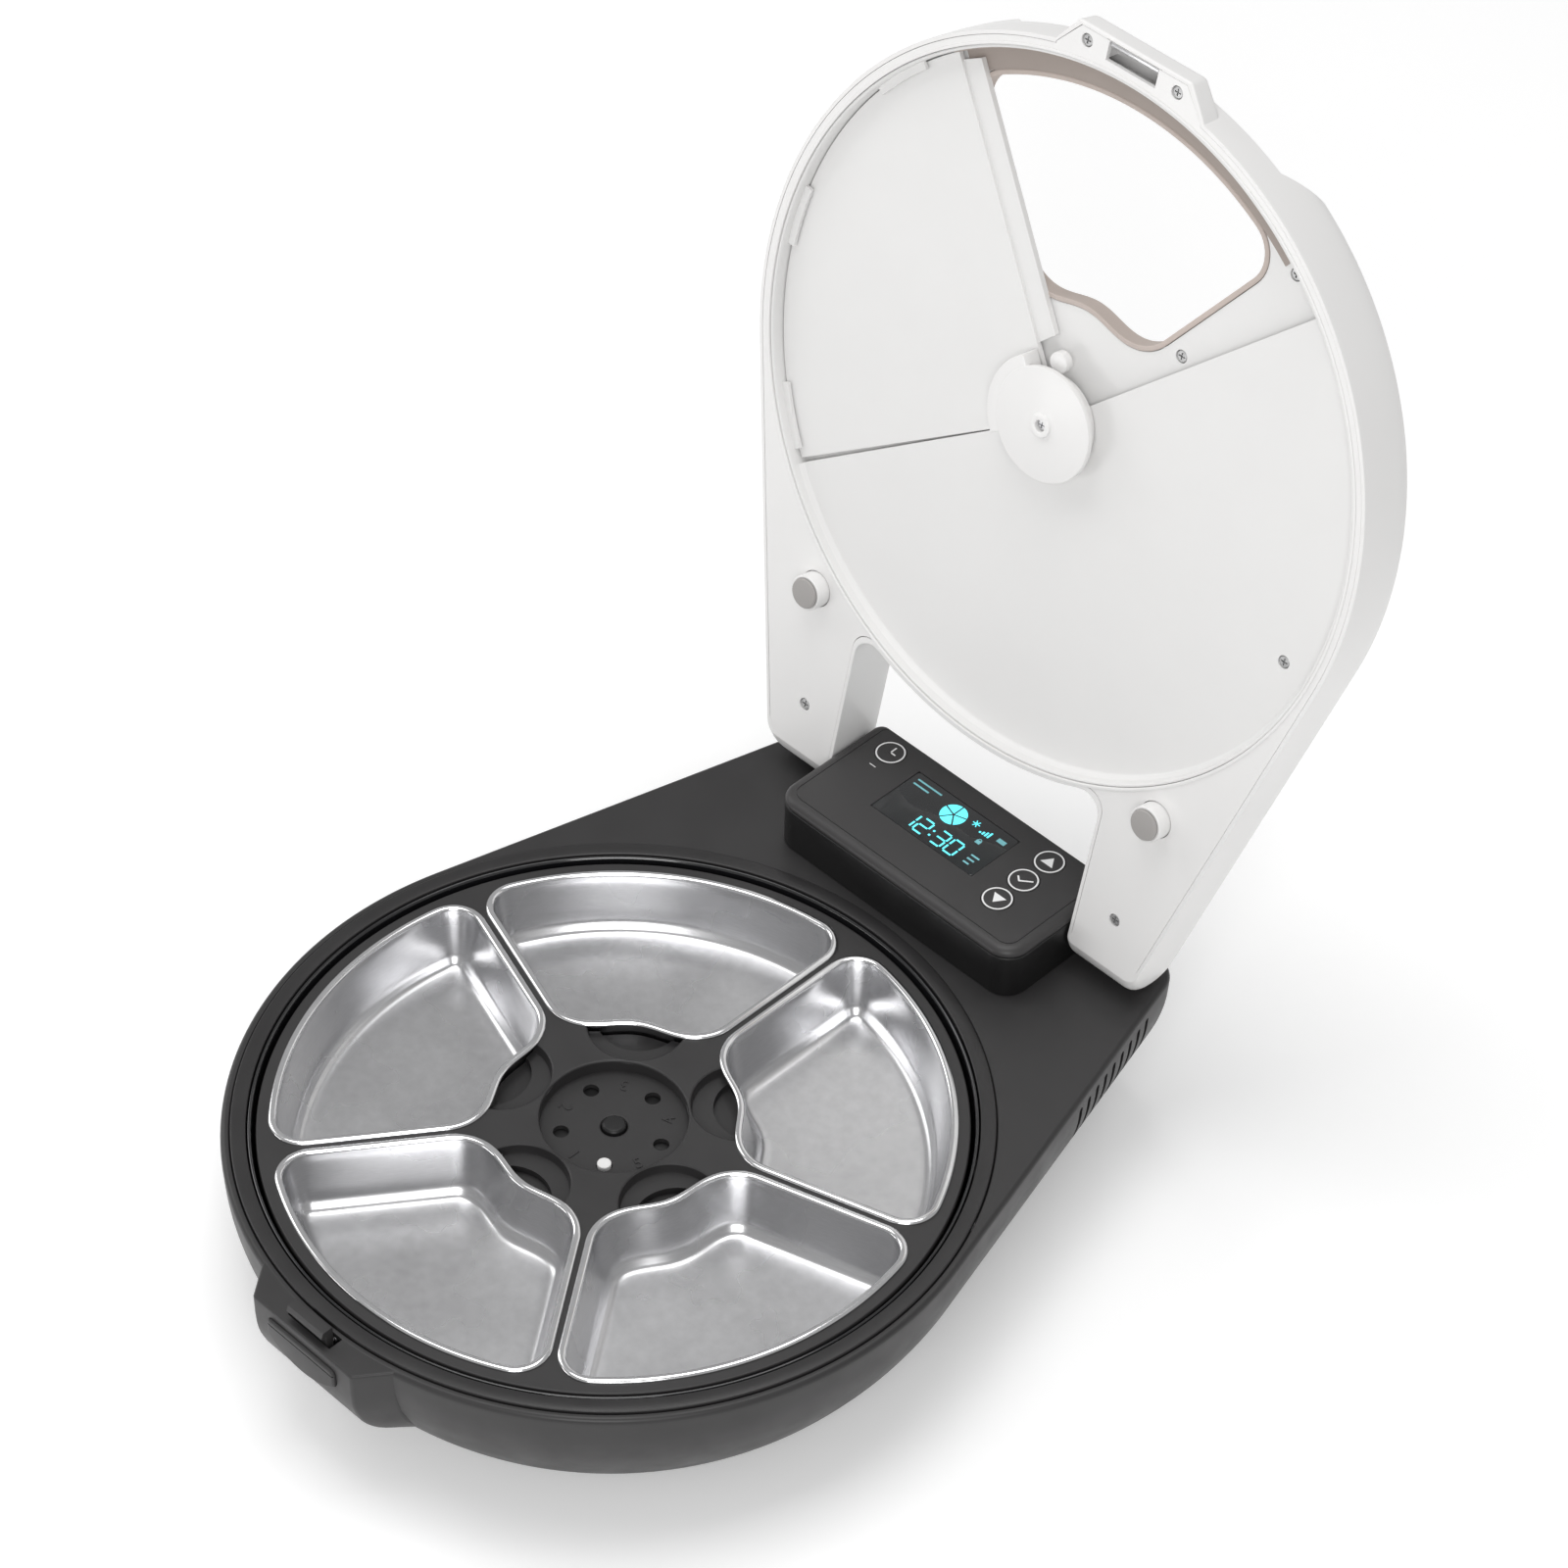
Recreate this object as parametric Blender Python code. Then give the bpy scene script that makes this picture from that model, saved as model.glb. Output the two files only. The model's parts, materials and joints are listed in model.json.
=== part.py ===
"""Automatic pet feeder: a turning tray of five steel bowls in a cooled and heated base, under a hinged lid.

Sizes are in millimetres and are scaled to metres when each mesh is made. The origin is on the floor, on the
carousel axis, with the latch at -Y and the hinge and control box at +Y. The lid is stored open.
"""

import math

import bmesh
import bpy
from mathutils import Vector

MM = 0.001
GAP = 0.3

# Base
BASE_RADIUS = 162.5
BASE_REAR = 231.0
BASE_ROUND = 15.0
TAIL_ANGLE = 15.0
WALL = 2.5
FOOT_HEIGHT = 2.2
COVER_BOTTOM = 2.5
COVER_TOP = 5.5
HOUSING_BOTTOM = 3.0
DECK = 71.0
RING_TOP = 72.0
RING_RADIUS = 158.4
WELL_RADIUS = 149.7
WELL_FLOOR = 38.0
FLOOR_THICKNESS = 2.5
FLOOR_RADIUS = 131.0

# How far the housing's side is drawn in at each height
SIDE_PROFILE = [(3.0, 28.5), (12.0, 21.0), (21.0, 15.0), (32.0, 8.8),
                (44.0, 3.6), (56.0, 0.6), (69.2, 0.0), (71.0, 1.6)]

# Latch boss, on the base and on the lid
BOSS_FRONT = -171.0
BOSS_HALF_FRONT = 29.5
BOSS_HALF_BACK = 40.0
BOSS_BACK = -157.0
SLOT_HALF = 12.6
BUTTON_HALF = 20.0

# Cooling and heating
PLATE_OUTER = 127.0
PLATE_INNER = 73.0
PLATE_START = -49.0
PLATE_THICKNESS = 1.3
PAD_RADIUS = 32.3
PAD_CENTRE = -99.0
COOLER_Y = 104.0
COOLER_SIZE = 40.0

# Drive
GEAR_MODULE = 1.5
GEAR_TEETH = 36
PINION_TEETH = 12
GEAR_BOTTOM = 24.0
GEAR_TOP = 30.0
SPINDLE_RADIUS = 4.0

# Tray and bowls
TRAY_RADIUS = 148.0
TRAY_TOP = 70.0
TRAY_PLATE = 2.2
TRAY_SKIRT = 54.0
RECESS_RADIUS = 31.0
RECESS_FLOOR = 63.7
PEG_CIRCLE = 22.2
PEG_HOLE = 3.4
BOWL_COUNT = 5
BOWL_ANGLE = 360.0 / BOWL_COUNT
BOWL_OUTER = 143.0
BOWL_INNER = 47.5
BOWL_WAVE = 3.8
BOWL_GAP = 2.0
FINGER_CENTRE = 53.4
FINGER_RADIUS = 21.2
FINGER_FLOOR = 62.0

# Control box
BOX_HALF = 70.0
BOX_FRONT = 162.5
BOX_REAR = 228.0
BOX_TOP = 93.6
PANEL_BOTTOM = 94.0
PANEL_TOP = 98.0
BUTTON_RADIUS = 7.0
BUTTON_PLACES = {"clock": (-52.5, 216.5), "up": (42.0, 217.0), "ok": (41.8, 201.0), "down": (41.6, 185.0)}
DISPLAY_CENTRE = (-5.5, 202.0)
DISPLAY_SIZE = (60.0, 30.0)

# Lid, in its closed place, with heights above its rim plane
LID_PLANE = 72.5
LID_RADIUS = 162.5
LID_HEIGHT = 32.3
LID_REAR_RADIUS = 159.5
LID_OPEN = 102.8
HINGE_Y = 214.0
HINGE_Z = 88.5
PIN_RADIUS = 3.5
EAR_INNER = 71.0
EAR_END_RADIUS = 17.0
FRAME_TOP = 2.2
DISH_RADIUS = 157.0
PLATEAU = 6.0
DISH_FLOOR = 10.0
DISH_TOP = 12.0
SCOOP_FLOOR = 16.2
BUMPER_PLACE = (99.0, 139.0)
BUMPER_RADIUS = 8.0
BUMPER_STAND = 8.0
SHUTTER_START = 144.8
SHUTTER_END = 234.8
SHUTTER_TURN = 80.2
SHUTTER_RADIUS = 154.2
HUB_RADIUS = 25.0
HUB_LOBE = 30.0
SCREW_RADIUS = 2.6
PANEL_SCREWS = {"inner": (49.0, -55.0, DISH_FLOOR), "outer": (91.5, -115.0, DISH_FLOOR),
                "side": (135.0, 40.5, PLATEAU)}


# ---------------------------------------------------------------- materials and scene

def material(name, colour, roughness, metallic=0.0):
    """A plain Principled material, shared by every piece of the same finish."""
    found = bpy.data.materials.get(name)
    if found:
        return found
    made = bpy.data.materials.new(name)
    made.use_nodes = True
    shader = made.node_tree.nodes["Principled BSDF"]
    shader.inputs["Base Color"].default_value = (*colour, 1.0)
    shader.inputs["Roughness"].default_value = roughness
    shader.inputs["Metallic"].default_value = metallic
    made.diffuse_color = (*colour, 1.0)
    return made


def clear_scene():
    for item in list(bpy.data.objects):
        bpy.data.objects.remove(item, do_unlink=True)


def group(name, place, turn=(0.0, 0.0, 0.0)):
    """An empty on a joint's axis, which carries the pieces that move together."""
    empty = bpy.data.objects.new(name, None)
    empty.location = [value * MM for value in place]
    empty.rotation_euler = [math.radians(angle) for angle in turn]
    bpy.context.scene.collection.objects.link(empty)
    return empty


# ---------------------------------------------------------------- outlines

def polar(radius, angle):
    turn = math.radians(angle)
    return (radius * math.cos(turn), radius * math.sin(turn))


def arc(radius, start, end, steps, centre=(0.0, 0.0)):
    """Points along an arc, both ends included, with angles in degrees."""
    points = []
    for step in range(steps + 1):
        x, y = polar(radius, start + (end - start) * step / steps)
        points.append((centre[0] + x, centre[1] + y))
    return points


def fillet(before, corner, after, radius, steps=4):
    """The round that replaces the corner between two straight edges."""
    tip = Vector(corner)
    back = (Vector(before) - tip).normalized()
    ahead = (Vector(after) - tip).normalized()
    half = back.angle(ahead) / 2
    centre = tip + (back + ahead).normalized() * (radius / math.sin(half))
    start = tip + back * (radius / math.tan(half)) - centre
    sweep = math.pi - 2 * half
    if back.x * ahead.y - back.y * ahead.x > 0:
        sweep = -sweep
    points = []
    for step in range(steps + 1):
        turn = sweep * step / steps
        x = start.x * math.cos(turn) - start.y * math.sin(turn)
        y = start.x * math.sin(turn) + start.y * math.cos(turn)
        points.append((centre.x + x, centre.y + y))
    return points


def mirrored(half):
    """Closes a right-hand half outline, which runs from the front to the rear, with its mirror image."""
    return half + [(-x, y) for x, y in reversed(half) if abs(x) > 1e-6]


def rounded_box(half_width, front, rear, front_round, rear_round, steps=4):
    """A rectangle in plan with rounded corners, counter-clockwise."""
    half = [(0.0, front)]
    half += fillet((0.0, front), (half_width, front), (half_width, rear), front_round, steps)
    half += fillet((half_width, front), (half_width, rear), (0.0, rear), rear_round, steps)
    half.append((0.0, rear))
    return mirrored(half)


def tangent_corner(radius, end):
    """Where the straight side that leaves a circle at the tail angle reaches a given depth."""
    turn = math.radians(TAIL_ANGLE)
    return ((radius - end * math.sin(turn)) / math.cos(turn), end)


def base_outline(inset):
    """The base in plan: a round front whose sides run on to a narrower, rounded rear."""
    radius = BASE_RADIUS - inset
    rear = BASE_REAR - inset
    half = arc(radius, -90.0, TAIL_ANGLE, 16)
    half += fillet(half[-1], tangent_corner(radius, rear), (0.0, rear), BASE_ROUND)
    half.append((0.0, rear))
    return mirrored(half)


def lid_outline(inset, end):
    """The lid in plan: a round front, two ears that reach the hinge, and a notch for the control box."""
    radius = LID_RADIUS - inset
    inner = EAR_INNER + inset
    rear = LID_REAR_RADIUS - inset
    outer_corner = tangent_corner(radius, end)
    inner_corner = (inner, end)
    notch = (inner, math.sqrt(rear ** 2 - inner ** 2))
    notch_angle = math.degrees(math.atan2(notch[1], notch[0]))
    half = arc(radius, -90.0, TAIL_ANGLE, 16)
    half += fillet(half[-1], outer_corner, inner_corner, 7.0, 3)
    half += fillet(outer_corner, inner_corner, notch, 3.0, 2)
    half += fillet(inner_corner, notch, polar(rear, notch_angle + 6.0), 9.0)
    half += arc(rear, notch_angle + 8.0, 90.0, 4)
    return mirrored(half[:-1] + [(0.0, rear)])


def bowl_outline(inset):
    """A bowl in plan, at the front: a sector with round corners and a wavy inner edge."""
    outer = BOWL_OUTER - inset
    inner = BOWL_INNER + inset
    turn = math.radians(BOWL_ANGLE / 2)
    along = Vector((math.sin(turn), -math.cos(turn)))
    away = Vector((-math.cos(turn), -math.sin(turn))) * (BOWL_GAP / 2 + inset)
    inner_corner = along * ((inner + away.y) / math.cos(turn)) + away
    outer_corner = along * outer + away
    inner_round = max(22.0 - inset, 6.0)
    outer_round = max(15.0 - inset, 4.0)
    tangent = outer_corner + Vector((-math.cos(turn), -math.sin(turn)))
    half = arc(outer, -90.0, -90.0 + BOWL_ANGLE / 2 - 9.0, 3)
    half += fillet(tangent, outer_corner, inner_corner, outer_round, 3)
    bend = fillet(outer_corner, inner_corner, (0.0, inner_corner.y), inner_round, 3)
    half += bend
    for step in range(1, 3):
        share = step / 3
        dip = BOWL_WAVE * (1 - math.cos(math.pi * share)) / 2
        half.append((bend[-1][0] * (1 - share), bend[-1][1] - dip))
    half.append((0.0, bend[-1][1] - BOWL_WAVE))
    return mirrored(half)


def sector(inner, outer, start, end, steps):
    """A ring sector in plan, counter-clockwise."""
    return arc(outer, start, end, steps) + arc(inner, end, start, max(steps // 2, 2))


def boss_outline(inset, shift=0.0, root=-146.0):
    """The latch boss in plan, with its back inside the wall it stands on."""
    side = BOSS_HALF_BACK - inset
    front = BOSS_HALF_FRONT - inset
    near = BOSS_FRONT + inset + shift
    return [(side, BOSS_BACK + shift), (side, root), (-side, root), (-side, BOSS_BACK + shift),
            (-front, near), (front, near)]


def turned_outline(outline, angle):
    """An outline turned about the vertical axis."""
    turn = math.radians(angle)
    return [(x * math.cos(turn) - y * math.sin(turn), x * math.sin(turn) + y * math.cos(turn))
            for x, y in outline]


# ---------------------------------------------------------------- solids

def add_object(name, bm, place=(0.0, 0.0, 0.0), parent=None, finish=None, smooth=30.0):
    """Turns a bmesh in millimetres into an object in metres, placed under its joint's empty."""
    bmesh.ops.remove_doubles(bm, verts=bm.verts, dist=1e-4)
    bmesh.ops.recalc_face_normals(bm, faces=bm.faces)
    bmesh.ops.scale(bm, vec=(MM, MM, MM), verts=bm.verts)
    mesh = bpy.data.meshes.new(name)
    bm.to_mesh(mesh)
    bm.free()
    mesh.shade_smooth()
    mesh.set_sharp_from_angle(angle=math.radians(smooth))
    item = bpy.data.objects.new(name, mesh)
    bpy.context.scene.collection.objects.link(item)
    item.location = [value * MM for value in place]
    if parent:
        item.parent = parent
    if finish:
        mesh.materials.append(finish)
    return item


def loft(name, rings, **options):
    """A closed skin over a stack of rings that share a point count, from the first cap to the last."""
    bm = bmesh.new()
    rows = [[bm.verts.new(point) for point in ring] for ring in rings]
    count = len(rows[0])
    for low, high in zip(rows, rows[1:]):
        for i in range(count):
            j = (i + 1) % count
            bm.faces.new((low[i], low[j], high[j], high[i]))
    bm.faces.new(list(reversed(rows[0])))
    bm.faces.new(rows[-1])
    return add_object(name, bm, **options)


def prism(name, outline, bottom, top, **options):
    """An outline in plan, extruded upwards."""
    rings = [[(x, y, height) for x, y in outline] for height in (bottom, top)]
    return loft(name, rings, **options)


def turned(name, profile, segments, **options):
    """A solid of revolution. The profile is a loop of (radius, height), counter-clockwise."""
    phase = 180.0 / segments
    bm = bmesh.new()
    rows = []
    for radius, height in profile:
        if radius < 1e-6:
            rows.append([bm.verts.new((0.0, 0.0, height))] * segments)
            continue
        row = []
        for step in range(segments):
            x, y = polar(radius, phase + 360.0 * step / segments)
            row.append(bm.verts.new((x, y, height)))
        rows.append(row)
    for low, high in zip(rows, rows[1:] + rows[:1]):
        for i in range(segments):
            j = (i + 1) % segments
            corners = []
            for vert in (low[i], low[j], high[j], high[i]):
                if vert not in corners:
                    corners.append(vert)
            if len(corners) > 2:
                bm.faces.new(corners)
    return add_object(name, bm, **options)


def cylinder(name, radius, bottom, top, segments=24, **options):
    return turned(name, [(0.0, bottom), (radius, bottom), (radius, top), (0.0, top)], segments, **options)


def block(name, low, high, **options):
    """A box between two corners."""
    outline = [(low[0], low[1]), (high[0], low[1]), (high[0], high[1]), (low[0], high[1])]
    return prism(name, outline, low[2], high[2], **options)


def combine(target, tool, operation):
    """Joins a tool to an object, or cuts it away, and leaves the tool as a guide."""
    step = target.modifiers.new(tool.name, "BOOLEAN")
    step.operation = operation
    step.solver = "EXACT"
    step.object = tool
    tool.hide_render = True
    tool.display_type = "WIRE"
    return target


def cut(target, *tools):
    for tool in tools:
        combine(target, tool, "DIFFERENCE")
    return target


def join(target, *tools):
    for tool in tools:
        combine(target, tool, "UNION")
    return target


def inset_at(height):
    """How far the housing's side is drawn in at a height."""
    for (low, near), (high, far) in zip(SIDE_PROFILE, SIDE_PROFILE[1:]):
        if height <= high:
            return near + (far - near) * (height - low) / (high - low)
    return SIDE_PROFILE[-1][1]


# ---------------------------------------------------------------- base

def base_rings(extra, heights):
    return [[(x, y, z) for x, y in base_outline(inset_at(z) + extra)] for z in heights]


def make_housing(finish):
    """The outer shell: a hollow pear-shaped body, open below, with the latch boss and the side vents."""
    heights = [height for height, _ in SIDE_PROFILE]
    housing = loft("base_housing", base_rings(0.0, heights), finish=finish)
    boss_levels = [(11.0, 5.0, 36.0), (35.0, 0.0, 0.0), (69.6, 0.0, 0.0), (70.8, 1.0, 0.0)]
    boss = loft("guide_boss", [[(x, y, z) for x, y in boss_outline(inset, shift, -110.0)]
                               for z, inset, shift in boss_levels])
    inner = base_rings(WALL, heights[1:-2] + [DECK - WALL])
    inner.insert(0, [(x, y, HOUSING_BOTTOM - 2.0) for x, y in base_outline(inset_at(HOUSING_BOTTOM) + WALL)])
    cavity = loft("cut_cavity", inner)
    well = cylinder("cut_well", RING_RADIUS + 0.6, DECK - 10.0, DECK + 5.0, 48)
    pocket = block("cut_latch_pocket", (-24.0, -168.4, 47.0), (24.0, -151.0, 68.2))
    window = block("cut_latch_window", (-BUTTON_HALF - 0.4, -180.0, 49.6), (BUTTON_HALF + 0.4, -160.0, 66.4))
    slot = block("cut_hook_slot", (-SLOT_HALF, -167.2, 60.0), (SLOT_HALF, -160.4, 75.0))
    socket = block("cut_socket", (37.6, 200.0, 17.6), (52.4, 240.0, 30.4))
    cable = block("cut_cable", (-12.0, 175.0, 60.0), (12.0, 185.0, 75.0))
    join(housing, boss)
    cut(housing, cavity, well, pocket, window, slot, socket, cable)
    for index in range(9):
        place = 146.0 + 7.2 * index
        for side in (-1.0, 1.0):
            low, high = sorted((side * 85.0, side * 150.0))
            cut(housing, block(f"cut_vent_{index}_{side:+.0f}", (low, place - 1.3, 37.0),
                               (high, place + 1.3, 65.0)))


def make_bottom_cover(finish):
    """The flat cover under the base, with the fan's intake slots."""
    outline = base_outline(inset_at(HOUSING_BOTTOM) + WALL + 0.6)
    cover = prism("bottom_cover", outline, COVER_BOTTOM, COVER_TOP, finish=finish)
    for index in range(6):
        place = COOLER_Y - 20.0 + 8.0 * index
        cut(cover, block(f"cut_intake_{index}", (-20.0, place - 1.5, 0.0), (20.0, place + 1.5, 8.0)))
    return cover


def make_feet(finish):
    places = {"front_left": (-70.0, -85.0), "front_right": (70.0, -85.0),
              "rear_left": (-68.0, 172.0), "rear_right": (68.0, 172.0)}
    profile = [(0.0, 0.0), (8.0, 0.0), (9.0, 1.0), (9.0, FOOT_HEIGHT), (0.0, FOOT_HEIGHT)]
    for corner, (x, y) in places.items():
        turned(f"foot_{corner}", profile, 16, place=(x, y, 0.0), finish=finish)


def make_well(finish):
    """The glossy insert that holds the tray: a flange, a curved wall and a flat floor."""
    under = WELL_FLOOR - FLOOR_THICKNESS
    profile = [(9.6, under), (132.5, under), (138.5, 38.0), (145.4, 44.0), (149.9, 54.0), (151.7, 63.0),
               (152.1, 68.8), (RING_RADIUS, 68.8), (RING_RADIUS, 71.2), (157.6, RING_TOP), (151.4, RING_TOP),
               (WELL_RADIUS, 70.8), (149.2, 63.0), (147.5, 54.0), (143.0, 45.0), (136.5, 39.8),
               (FLOOR_RADIUS, WELL_FLOOR), (9.6, WELL_FLOOR)]
    liner = turned("well_liner", profile, 48, finish=finish)
    half = COOLER_SIZE / 2 + 0.5
    cut(liner, block("cut_cooler", (-half, COOLER_Y - half, 30.0), (half, COOLER_Y + half, 45.0)))


def make_cooling_plate(finish):
    """A C-shaped plate on the floor of the well, with round corners at its open front."""
    round_size = 8.0
    half = []
    outer_end = polar(PLATE_OUTER, PLATE_START)
    inner_end = polar(PLATE_INNER, PLATE_START)
    tangent = math.radians(PLATE_START)
    ahead = Vector((-math.sin(tangent), math.cos(tangent)))
    half += fillet(Vector(inner_end) + ahead * 20.0, inner_end, outer_end, round_size)
    half += fillet(inner_end, outer_end, Vector(outer_end) + ahead * 20.0, round_size)
    half += arc(PLATE_OUTER, PLATE_START + 5.0, 90.0, 16)
    inner = arc(PLATE_INNER, 90.0, PLATE_START + 8.0, 14)
    outline = half + [(-x, y) for x, y in reversed(half[:-1])]
    outline += [(-x, y) for x, y in reversed(inner)] + inner[1:]
    bottom = WELL_FLOOR + GAP
    prism("cooling_plate", outline, bottom, bottom + PLATE_THICKNESS, finish=finish)


def make_heating_pad(finish):
    """A round heater with raised rings."""
    low = WELL_FLOOR + GAP
    high = low + PLATE_THICKNESS
    profile = [(0.0, low), (PAD_RADIUS, low), (PAD_RADIUS, high - 0.4)]
    for ring in (30.0, 23.0, 16.0):
        profile += [(ring, high), (ring - 3.5, high), (ring - 4.0, high - 0.4)]
    profile += [(10.5, high - 0.4), (10.0, high), (0.0, high)]
    turned("heating_pad", profile, 20, place=(0.0, PAD_CENTRE, 0.0), finish=finish)


def make_cooler(metal, ceramic, dark):
    """The Peltier module under the plate, its heat sink and the fan's frame."""
    half = COOLER_SIZE / 2
    here = {"place": (0.0, COOLER_Y, 0.0)}
    block("peltier_module", (-half, -half, 34.0), (half, half, 38.0), finish=ceramic, **here)
    sink = block("heat_sink", (-32.0, -30.0, 30.4), (32.0, 30.0, 33.7), finish=metal, **here)
    for index in range(8):
        place = -30.0 + 60.0 * index / 7
        join(sink, block(f"guide_fin_{index}", (place - 1.0, -30.0, 19.0), (place + 1.0, 30.0, 31.0), **here))
    frame = prism("fan_frame", rounded_box(30.0, -30.0, 30.0, 4.0, 4.0, 2), 6.0, 17.5, finish=dark, **here)
    cut(frame, cylinder("cut_fan_bore", 27.8, 0.0, 25.0, 32, **here))
    for index in range(3):
        outline = turned_outline([(0.0, -1.2), (28.4, -1.2), (28.4, 1.2), (0.0, 1.2)], 90.0 + 120.0 * index)
        join(frame, prism(f"guide_strut_{index}", outline, 6.3, 7.6, **here))
    join(frame, cylinder("guide_fan_post", 3.6, 6.2, 14.0, 16, **here))


def make_fan_rotor(finish):
    """Seven flat blades around a hub that turns on the frame's post."""
    parent = group("axis_fan", (0.0, COOLER_Y, 0.0))
    profile = [(4.0, 8.4), (10.0, 8.4), (10.0, 16.6), (4.0, 16.6)]
    rotor = turned("fan_rotor", profile, 24, parent=parent, finish=finish)
    for index in range(7):
        angle = 360.0 * index / 7
        rings = []
        for radius, lean in ((8.0, 2.6), (26.4, 5.2)):
            low = [(radius, -lean - 0.8, 9.0), (radius, -lean + 0.8, 9.0)]
            high = [(radius, lean + 0.8, 16.0), (radius, lean - 0.8, 16.0)]
            rings.append(low + high)
        turn = math.radians(angle)
        rings = [[(x * math.cos(turn) - y * math.sin(turn), x * math.sin(turn) + y * math.cos(turn), z)
                  for x, y, z in ring] for ring in rings]
        join(rotor, loft(f"guide_blade_{index}", rings, parent=parent))


def gear_outline(teeth, phase):
    """A spur gear in plan with straight-flanked teeth and running clearance."""
    pitch = GEAR_MODULE * teeth / 2
    root = pitch - 1.3 * GEAR_MODULE
    tip = pitch + 0.85 * GEAR_MODULE
    step = 360.0 / teeth
    outline = []
    for index in range(teeth):
        centre = phase + index * step
        for radius, share in ((root, -0.30), (tip, -0.115), (tip, 0.115), (root, 0.30)):
            outline.append(polar(radius, centre + share * step))
    return outline


def make_drive(metal, dark, gear_finish, brass):
    """The turntable that carries the tray, its gear, and the motor with its pinion."""
    turntable = group("axis_carousel", (0.0, 0.0, 0.0))
    profile = [(0.0, 22.0), (SPINDLE_RADIUS, 22.0), (SPINDLE_RADIUS, 40.4), (12.0, 40.4), (12.0, 57.0),
               (26.0, 58.6), (26.0, 61.2), (5.2, 61.2), (5.2, 64.6), (4.2, 65.4), (0.0, 65.4)]
    turned("turntable_hub", profile, 32, parent=turntable, finish=dark)
    gear = prism("drive_gear", gear_outline(GEAR_TEETH, 0.0), GEAR_BOTTOM, GEAR_TOP, parent=turntable,
                 finish=gear_finish)
    cut(gear, cylinder("cut_gear_bore", SPINDLE_RADIUS + GAP, 20.0, 35.0, 24, parent=turntable))
    bush = [(SPINDLE_RADIUS + GAP, 34.0), (9.2, 34.0), (9.2, WELL_FLOOR + GAP), (12.5, WELL_FLOOR + GAP),
            (12.5, 39.8), (SPINDLE_RADIUS + GAP, 39.8)]
    turned("spindle_bush", bush, 24, finish=brass)
    distance = GEAR_MODULE * (GEAR_TEETH + PINION_TEETH) / 2
    motor = [(0.0, 6.2), (13.0, 6.2), (13.0, 20.5), (4.0, 20.5), (4.0, 22.6), (1.6, 22.6), (1.6, 31.0),
             (0.0, 31.0)]
    turned("drive_motor", motor, 24, place=(-distance, 0.0, 0.0), finish=metal)
    shaft = group("axis_pinion", (-distance, 0.0, 0.0))
    half_tooth = 180.0 / PINION_TEETH
    pinion = prism("motor_pinion", gear_outline(PINION_TEETH, half_tooth), GEAR_BOTTOM, GEAR_TOP,
                   parent=shaft, finish=brass)
    cut(pinion, cylinder("cut_pinion_bore", 1.9, 20.0, 35.0, 16, parent=shaft))


def make_electronics(board, dark):
    """The power board in the tail and the socket that feeds it."""
    power = block("power_board", (-40.0, 156.0, 12.0), (30.0, 196.0, 13.6), finish=board)
    join(power, block("guide_inductor", (-34.0, 162.0, 13.0), (-16.0, 180.0, 24.0)),
         block("guide_regulator", (-8.0, 164.0, 13.0), (6.0, 174.0, 18.0)),
         cylinder("guide_capacitor", 6.0, 13.0, 30.0, 16, place=(18.0, 182.0, 0.0)))
    socket = block("dc_socket", (38.0, 203.0, 18.0), (52.0, 219.0, 30.0), finish=dark)
    bore = cylinder("cut_socket_bore", 4.2, -12.0, 3.0, 20, place=(45.0, 219.0, 24.0))
    bore.rotation_euler = (math.radians(-90.0), 0.0, 0.0)
    pin = cylinder("guide_socket_pin", 1.1, -14.0, -1.5, 12, place=(45.0, 219.0, 24.0))
    pin.rotation_euler = (math.radians(-90.0), 0.0, 0.0)
    cut(socket, bore)
    join(socket, pin)
    block("control_board", (-62.0, 168.0, 85.0), (62.0, 224.0, 86.6), finish=board)


def coil_rings(radius, wire, length, turns):
    """Rings of wire along a coil that runs back from the origin."""
    rings = []
    steps = 10
    for index in range(turns * steps + 1):
        turn = 2 * math.pi * index / steps
        travel = length * index / (turns * steps)
        ring = []
        for corner in range(6):
            bend = 2 * math.pi * corner / 6
            reach = radius + wire * math.cos(bend)
            ring.append((reach * math.cos(turn), travel + wire * math.sin(bend), reach * math.sin(turn)))
        rings.append(ring)
    return rings


def make_latch(button_finish, metal):
    """The front button, the hook it carries and the return spring behind it."""
    parent = group("axis_latch", (0.0, -165.0, 58.0))
    button = prism("latch_button", rounded_box(BUTTON_HALF, -8.0, 8.0, 5.0, 5.0, 3), 0.0, 5.5,
                   place=(0.0, -1.9, 0.0), parent=parent, finish=button_finish)
    button.rotation_euler = (math.radians(90.0), 0.0, 0.0)
    hook = block("latch_hook", (-10.5, -1.6, -6.0), (10.5, 1.8, 21.0), parent=parent, finish=button_finish)
    nose = [(-10.5, -4.4, 17.8), (-10.5, -1.0, 17.8), (-10.5, -1.0, 21.0), (-10.5, -3.2, 21.0)]
    join(hook, loft("guide_hook_nose", [nose, [(-x, y, z) for x, y, z in nose]], parent=parent))
    loft("latch_spring", coil_rings(3.0, 0.45, 6.4, 4), place=(0.0, -158.3, 57.0), finish=metal)


# ---------------------------------------------------------------- control box

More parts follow.
